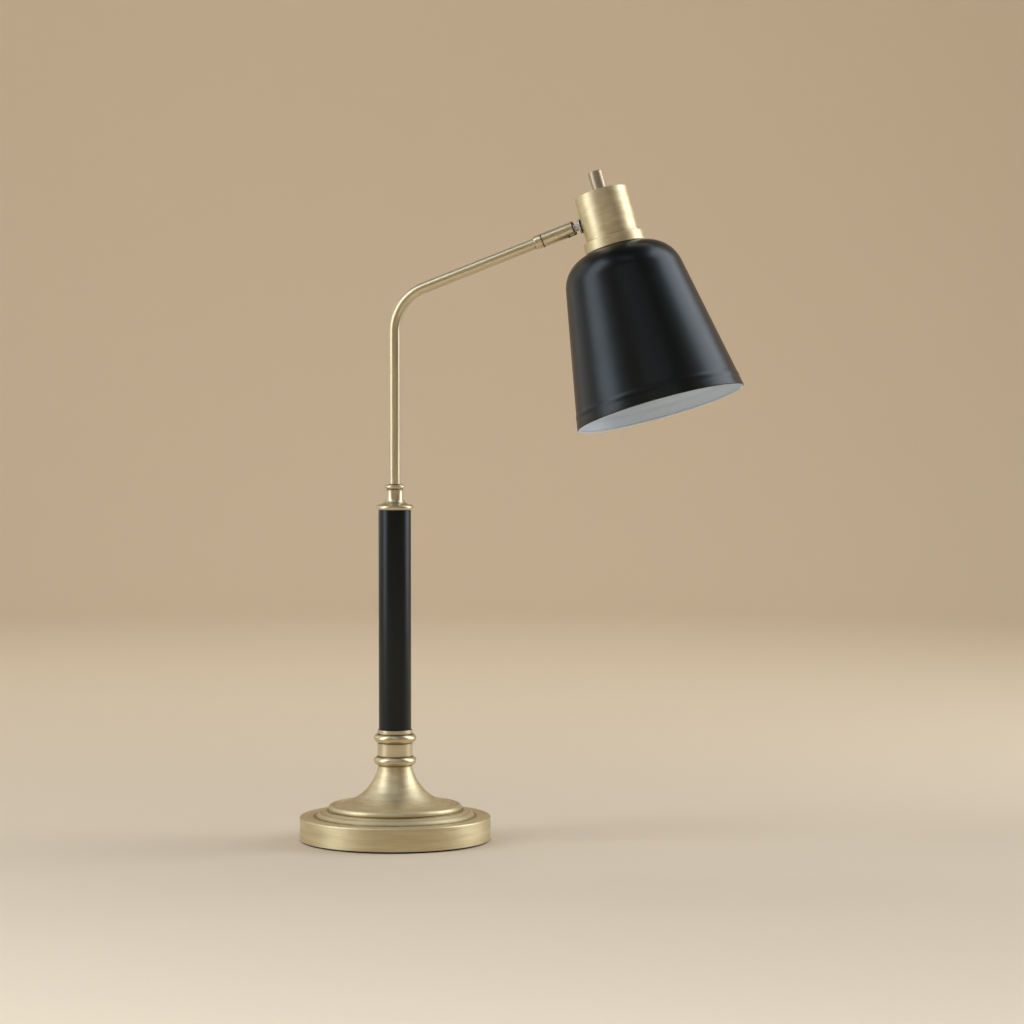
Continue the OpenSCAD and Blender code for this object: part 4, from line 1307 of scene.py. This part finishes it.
class Swivel(SubAssembly):
    """The fixed collar, the slotted sleeve, the ball in it and the stem that holds the cup."""

    sizes = SwivelSizes()
    END_FACE = 0.99

    def build_collar(self) -> None:
        """Builds the collar that is fixed to the arm."""
        s = self.sizes
        groove, at = s.clip_groove
        after = at + s.clip_width
        collar = Outline(
            (s.arm_seat, s.collar_from), (s.radius, s.collar_from, 0.5), (s.radius, s.collar_to, 0.2),
            (s.stub, s.collar_to), (s.stub, at), (groove, at), (groove, after), (s.stub, after),
            (s.stub, s.stub_end), (s.lead, s.stub_end), (s.lead, s.arm_end), (s.arm_seat, s.arm_end),
        )
        # painted shade where the arm enters the collar and at the collar's end
        collar.crease(s.arm_seat, s.collar_from).crease(s.radius, s.collar_to, 0.35)
        piece = MeshMaker.turned("collar_at_arm", collar, self.places.arm() @ TO_X, segments=96)
        self.own(piece, self.finishes.turned_brass, "swivel_collar")

    def build_sleeve(self) -> None:
        """Builds the sleeve with the slot that the stem dips into."""
        s = self.sizes
        outline = Outline(
            (s.radius, s.lip[1], 0.3), (s.radius, s.lip[1] - s.rim), (s.radius, s.sleeve_from, 0.2),
            (s.turning_bore, s.sleeve_from), (s.turning_bore, s.shoulder), (s.bore, s.shoulder),
            (s.bore, s.ball_at), *arc((0, s.ball_at), s.ball_fit, 5, 29, 8), s.lip,
        )
        # painted shade at the sleeve's end next to the collar
        outline.crease(s.radius, s.sleeve_from, 0.35)
        upright = self.places.sleeve()
        frame = upright @ TO_X
        outside = s.radius + s.past
        piece = MeshMaker.turned("sleeve_turning", outline, frame, segments=128)
        start = upright @ Matrix.Translation((s.ball_at * MM, 0, -outside * MM))
        MeshMaker.drill(piece, start, s.slot, outside - s.slot_floor)
        low = Vector((s.slot_floor, -s.slot, s.ball_at)) * MM
        high = Vector((outside, s.slot, s.lip[1] + s.past)) * MM
        MeshMaker.mill(piece, frame, low, high)
        self.own(piece, self.finishes.turned_brass, "swivel_sleeve")
        # the bore, slot and mouth rim get a near-black coat of painted shade
        self.coat(piece, self.finishes.brass_bore, self._is_bore)

    def _is_bore(self, centre: Vector, normal: Vector) -> bool:
        """Finds the faces of the sleeve that take painted shade: in its bore, in its slot and on its
        mouth's rim.

        Args:
            centre: A face's centre, in the piece's own frame.
            normal: The face's normal.

        Returns:
            Whether it is one of them.
        """
        s = self.sizes
        inside = math.hypot(centre.x, centre.y) < (s.radius - s.skin) * MM
        return (inside and abs(normal.z) < self.END_FACE) or centre.z > (s.lip[1] - s.rim) * MM

    def build(self) -> None:
        """Builds the collar and the sleeve and dresses what they hold."""
        f = self.finishes
        self.body = "stand"
        self.build_collar()
        self.body = "sleeve"
        self.build_sleeve()
        self.dress(f.steel, "swivel_clip", "backing_plug", "seat_springs", "inner_washer", "stem_nut")
        self.dress(f.acetal, "ball_seat")
        self.dress(f.nickel, "ball_stem")
        self.dress(f.black_plastic, "friction_washer")


@dataclass(frozen=True)
class HeadSizes:
    """Sizes of the socket cup, its collar and the knob, in millimetres below the cup's top."""

    cup_radius: float = 22.9
    cup_wall: float = 1.2
    cup_height: float = 40.3
    cup_round: float = 1.0
    bush_hole: float = 3.55
    stem_hole: float = 4.06
    stem_drop: float = 22.8
    stem_drill: Point = (4, 9)
    ring_radius: float = 26.1
    ring_height: float = 9.4
    ring_wall: float = 1.5
    ring_round: float = 0.8
    ring_bore: float = 19.9
    ring_spigot: float = 21.65
    spigot_length: float = 4.0
    knob_radius: float = 6.1
    knob_top: float = 18.6
    knob_gap: float = 0.5
    knob_pocket: Point = (5.3, 4.6)
    knob_bore: Point = (2.05, 15.1)
    screw_hole: float = 1.55
    screw_height: float = 11.6
    screw_drill: Point = (2, 8)


class Head(SubAssembly):
    """The brass cup and collar, the switch and its knob."""

    body = "head"
    sizes = HeadSizes()

    def build_cup(self) -> None:
        """Builds the cup with its side hole, and the collar ring under it."""
        s, frame, brass = self.sizes, self.places.head(), self.finishes.brass
        inner, top = s.cup_radius - s.cup_wall, -s.cup_height
        cup = Outline(
            (s.bush_hole, 0), (s.cup_radius, 0, s.cup_round), (s.cup_radius, top, 0.25), (inner, top),
            (inner, -s.cup_wall), (s.bush_hole, -s.cup_wall),
        )
        # painted shade along the cup's foot
        cup.crease(s.cup_radius, top, 0.55)
        piece = MeshMaker.turned("socket_cover", cup, frame, segments=192)
        start, length = s.stem_drill
        side = Matrix.Translation((-(s.cup_radius + start) * MM, 0, -s.stem_drop * MM)) @ TO_X
        MeshMaker.drill(piece, frame @ side, s.stem_hole, length)
        self.own(piece, brass, "socket_cup")

        low, up = top - s.ring_height, top + s.spigot_length
        inside, under = s.ring_radius - s.ring_wall, top - s.ring_wall
        ring = Outline(
            (s.ring_bore, up), (s.ring_spigot, up, 0.3), (s.ring_spigot, top),
            (s.ring_radius, top, s.ring_round), (s.ring_radius, low, 0.3), (inside, low),
            (inside, under), (s.ring_bore, under),
        )
        # painted shadow where the cup sits on the ring, and at the ring's foot
        ring.crease(s.cup_radius, top, 0.9).crease(s.ring_radius, low, 0.6)
        piece = MeshMaker.turned("collar_turning", ring, frame, segments=192)
        self.own(piece, brass, "collar_ring")

    def build_knob(self) -> None:
        """Builds the knob with the hole for its set screw."""
        s, frame = self.sizes, self.places.head()
        bore, bore_top = s.knob_bore
        pocket, pocket_top = s.knob_pocket
        knob = Outline(
            (0, bore_top), (bore, bore_top), (bore, pocket_top), (pocket, pocket_top),
            (pocket, s.knob_gap, 0.2), (s.knob_radius, s.knob_gap, 0.35),
            (s.knob_radius, s.knob_top, 0.5), (0, s.knob_top),
        )
        piece = MeshMaker.turned("knob_turning", knob, frame, segments=96)
        start, length = s.screw_drill
        side = Matrix.Translation((0, start * MM, s.screw_height * MM)) @ TO_BACK
        MeshMaker.drill(piece, frame @ side, s.screw_hole, length)
        self.own(piece, self.finishes.dark_nickel, "knob")

    def build(self) -> None:
        """Builds the metalwork and dresses what is inside."""
        f = self.finishes
        self.build_cup()
        self.body = "knob"
        self.build_knob()
        steel = ("switch_shaft", "socket_bracket", "bracket_screws", "switch_nut")
        self.dress(f.steel, *steel)
        self.dress(f.dark_steel, "knob_screw")
        self.dress(f.black_plastic, "switch_body")
        self.dress(f.white_plastic, "socket_leads")
        self.dress(f.porcelain, "socket_body")
        self.dress(f.contact_brass, "screw_shell", "centre_contact")


@dataclass(frozen=True)
class ShadeSizes:
    """Sizes of the shade and the bulb, in millimetres below the cup's top."""

    top: float = -49.7
    height: float = 142.0
    rim_radius: float = 73.0
    wall: float = 1.0
    slope: float = 10.7
    shoulder: float = 30.0
    hole: float = 19.9
    collar: float = 26.1
    lip: float = 0.9
    bead_height: float = 11.0
    bead_width: float = 7.0
    bead_out: float = 0.3
    bulb_radius: float = 30.0
    bulb_end: float = -145.6
    bulb_top: float = -65.0
    bulb_neck: float = 12.6
    bulb_neck_length: float = 2.0
    bulb_turn: float = 40.0


class Shade(SubAssembly):
    """The black shade with its white lining, the ring that clamps it and the bulb."""

    body = "head"
    sizes = ShadeSizes()
    STRAIGHT_STEPS = 10
    BEAD_STEPS = 28
    INWARD = -0.2
    ROLLED_LIPS = 2.2
    ROLLED_OUTWARD = 0.25
    BULB_END_ANGLE = -89.9
    BULB_STEPS = 40

    def _side(self, inset: float) -> list[Point]:
        """The shade's side from its top to below its bead.

        Args:
            inset: How far the line lies inside the outer one.

        Returns:
            The line's points.
        """
        s = self.sizes
        rise, lean = math.tan(math.radians(s.slope)), math.cos(math.radians(s.slope))
        middle = s.rim_radius - rise * (s.height - s.shoulder) - s.shoulder / lean
        points = arc((middle, s.top - s.shoulder), s.shoulder - inset, 90, s.slope, 64)
        bead = []
        for i in range(self.BEAD_STEPS + 1):
            share = i / self.BEAD_STEPS
            up = s.bead_height + s.bead_width * (0.5 - share)
            swell = s.bead_out * (1 - math.cos(2 * math.pi * share)) / 2
            bead.append((s.rim_radius - up * rise - inset / lean + swell, s.top - s.height + up))
        first, last = Vector(points[-1]), Vector(bead[0])
        steps = self.STRAIGHT_STEPS
        straight = [tuple(first.lerp(last, i / steps)) for i in range(1, steps)]
        return points + straight + bead

    def build_shade(self) -> None:
        """Builds the shade as one shell, black outside and white inside."""
        s, lean = self.sizes, math.radians(self.sizes.slope)
        inwards = s.lip * (math.tan(lean) + 1 / math.cos(lean))
        lip = (s.rim_radius - inwards, s.top - s.height + s.lip)
        end = s.slope - 180 - math.degrees(math.acos(s.wall / s.lip - 1))
        outline = Outline((s.hole, s.top), *self._side(0), *arc(lip, s.lip, s.slope, end, 30))
        outline.to(*self._side(s.wall)[::-1], (s.hole, s.top - s.wall))
        outline.crease(s.collar, s.top, 0.7)
        piece = MeshMaker.turned("shade_shell", outline, self.places.head(), segments=224)
        self.own(piece, self.finishes.black, "shade")
        self.coat(piece, self.finishes.white_paint, self._is_lining)

    def _is_lining(self, centre: Vector, normal: Vector) -> bool:
        """Finds the faces of the shade that have the white lining.

        Args:
            centre: A face's centre, in the piece's own frame.
            normal: The face's normal.

        Returns:
            Whether it is one of them.
        """
        s = self.sizes
        outward = normal.dot(Vector((centre.x, centre.y, 0)).normalized())
        under = centre.z > (s.top - s.shoulder) * MM and normal.z < self.INWARD
        near_rim = centre.z < (s.top - s.height + self.ROLLED_LIPS * s.lip) * MM
        return outward < self.INWARD or under or (near_rim and outward < self.ROLLED_OUTWARD)

    def build_bulb(self) -> None:
        """Builds the frosted bulb."""
        s = self.sizes
        globe = Vector((0, s.bulb_end + s.bulb_radius))
        angle = math.radians(s.bulb_turn)
        start = Vector((s.bulb_neck, s.bulb_top - s.bulb_neck_length))
        joint = globe + s.bulb_radius * Vector((math.cos(angle), math.sin(angle)))
        flare = (joint - start).length / 2 * math.tan(angle / 4)
        outline = Outline(
            (0, s.bulb_top),
            (s.bulb_neck, s.bulb_top),
            *bow(start, joint, -flare),
            *arc(globe, s.bulb_radius, s.bulb_turn, self.BULB_END_ANGLE, self.BULB_STEPS),
            (0, s.bulb_end),
        )
        glass = MeshMaker.turned("bulb_envelope", outline, self.places.head(), segments=96)
        self.own(glass, self.finishes.frosted, "bulb_glass")

    def build(self) -> None:
        """Builds the shade and the bulb and dresses the clamp ring and the bulb's cap."""
        f = self.finishes
        self.build_shade()
        self.build_bulb()
        self.dress(f.bulb_metal, "bulb_cap")
        self.dress(f.solder, "bulb_contact")
        self.dress(f.white_plastic, "shade_ring")


# ---- studio ----


@dataclass(frozen=True)
class SoftBox:
    """An area lamp of the studio."""

    name: str
    place: Spot
    target: Spot
    width: float
    height: float
    power: float
    spread: float = 180.0
    colour: Colour = (0.87, 0.94, 1.0)

    def build(self) -> None:
        """Adds the lamp, turned to its target."""
        data = bpy.data.lights.new(self.name, "AREA")
        data.shape = "RECTANGLE"
        data.size, data.size_y = self.width, self.height
        data.energy = self.power
        data.color = self.colour
        data.spread = math.radians(self.spread)
        lamp = bpy.data.objects.new(self.name, data)
        bpy.context.scene.collection.objects.link(lamp)
        lamp.location = self.place
        way = Vector(self.target) - Vector(self.place)
        lamp.rotation_euler = way.to_track_quat("-Z", "Y").to_euler()
        lamp.visible_camera = False


@dataclass(frozen=True)
class Studio:
    """The floor, the lamps, the world and the camera. The floor's sizes are in millimetres."""

    camera_place: Spot = (0.6190, -2.9290, 0.4387)
    camera_pitch: float = 2.96
    camera_heading: float = 10.0
    lens: float = 122.34
    floor_radius: float = 2450.0
    floor_bend: float = 1250.0
    wall_top: float = 3600.0
    floor_colour: Colour = (0.745, 0.63, 0.485)
    mottle: float = 0.985
    world_colour: Colour = (0.075, 0.073, 0.07)
    boxes: tuple[SoftBox, ...] = (
        SoftBox("left box", (-1.4, -0.7, 1.15), (0.1, 0, 0.4), 0.9, 2.4, 22),
        SoftBox("left back box", (-1.75, 0.75, 1.0), (0.1, 0, 0.4), 1.2, 1.8, 5),
        SoftBox("right box", (1.55, 0.62, 1.2), (0.1, 0, 0.4), 1.2, 2.4, 29.5),
        SoftBox("front panel", (0.5, -2.4, 2.1), (0.1, 0, 0.3), 2.2, 1.1, 3.5),
        SoftBox("floor lamp", (0.2, -1.4, 2.6), (0.2, -1.4, 0), 3.4, 1.0, 14, 56.0),
        SoftBox("backdrop lamp", (-0.3, 1.2, 2.4), (-0.45, 2.9, 0), 2.2, 0.7, 22, 150.0, (1.0, 0.92, 0.8)),
    )

    def build(self) -> None:
        """Builds the whole studio."""
        self._floor()
        self._world()
        self._camera()
        for box in self.boxes:
            box.build()

    def _floor(self) -> None:
        """A round pale floor that curves up into a wall on all sides, far from the lamp."""
        bend = self.floor_bend
        curve = arc((self.floor_radius, bend), bend, -90, 0, 32)
        line = Outline((0, 0), (self.floor_radius, 0), *curve, (self.floor_radius + bend, self.wall_top))
        floor = MeshMaker.turned("studio_floor", line, UPRIGHT, segments=96)
        paint = bpy.data.materials.new("pale floor")
        g = Graph.of(paint)
        noise = g.add("TexNoise", {"Scale": 1.5, "Detail": 3.0}).outputs["Fac"]
        mottled = g.mix(noise, self.floor_colour, tuple(c * self.mottle for c in self.floor_colour))
        surface = g.add("BsdfPrincipled", {"Base Color": mottled, "Roughness": 0.85})
        g.add("OutputMaterial", {"Surface": surface.outputs[0]})
        floor.data.materials.append(paint)

    def _world(self) -> None:
        """An even, dim room around the floor and its lamps."""
        world = bpy.data.worlds.new("studio")
        bpy.context.scene.world = world
        g = Graph.of(world)
        room = g.add("Background", {"Color": (*self.world_colour, 1), "Strength": 1.0})
        g.add("OutputWorld", {"Surface": room.outputs[0]})

    def _camera(self) -> None:
        """The camera at the photograph's viewing angle."""
        data = bpy.data.cameras.new("camera")
        data.sensor_width = 36.0
        data.lens = self.lens
        data.clip_end = 50.0
        camera = bpy.data.objects.new("camera", data)
        bpy.context.scene.collection.objects.link(camera)
        camera.location = self.camera_place
        pitch, heading = math.radians(90 - self.camera_pitch), math.radians(self.camera_heading)
        camera.rotation_euler = (pitch, 0.0, heading)
        bpy.context.scene.camera = camera


# ---- the whole lamp ----


def corners(box: tuple[Vector, Vector]) -> list[list[float]]:
    """A box's two corners as plain lists."""
    return [[float(x) for x in corner] for corner in box]


def main() -> None:
    """Loads the frame and builds the lamp around it."""
    logging.basicConfig(level=logging.INFO, format="%(name)s: %(message)s")
    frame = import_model()
    finishes, places = Finishes(), Places()
    Studio().build()
    for part in (Base, Column, Arm, Swivel, Head, Shade):
        part(finishes, places, frame["nodes"]).build()
    bpy.context.scene.view_settings.view_transform = "Standard"
    bpy.context.view_layer.update()


if __name__ == "__main__":
    main()
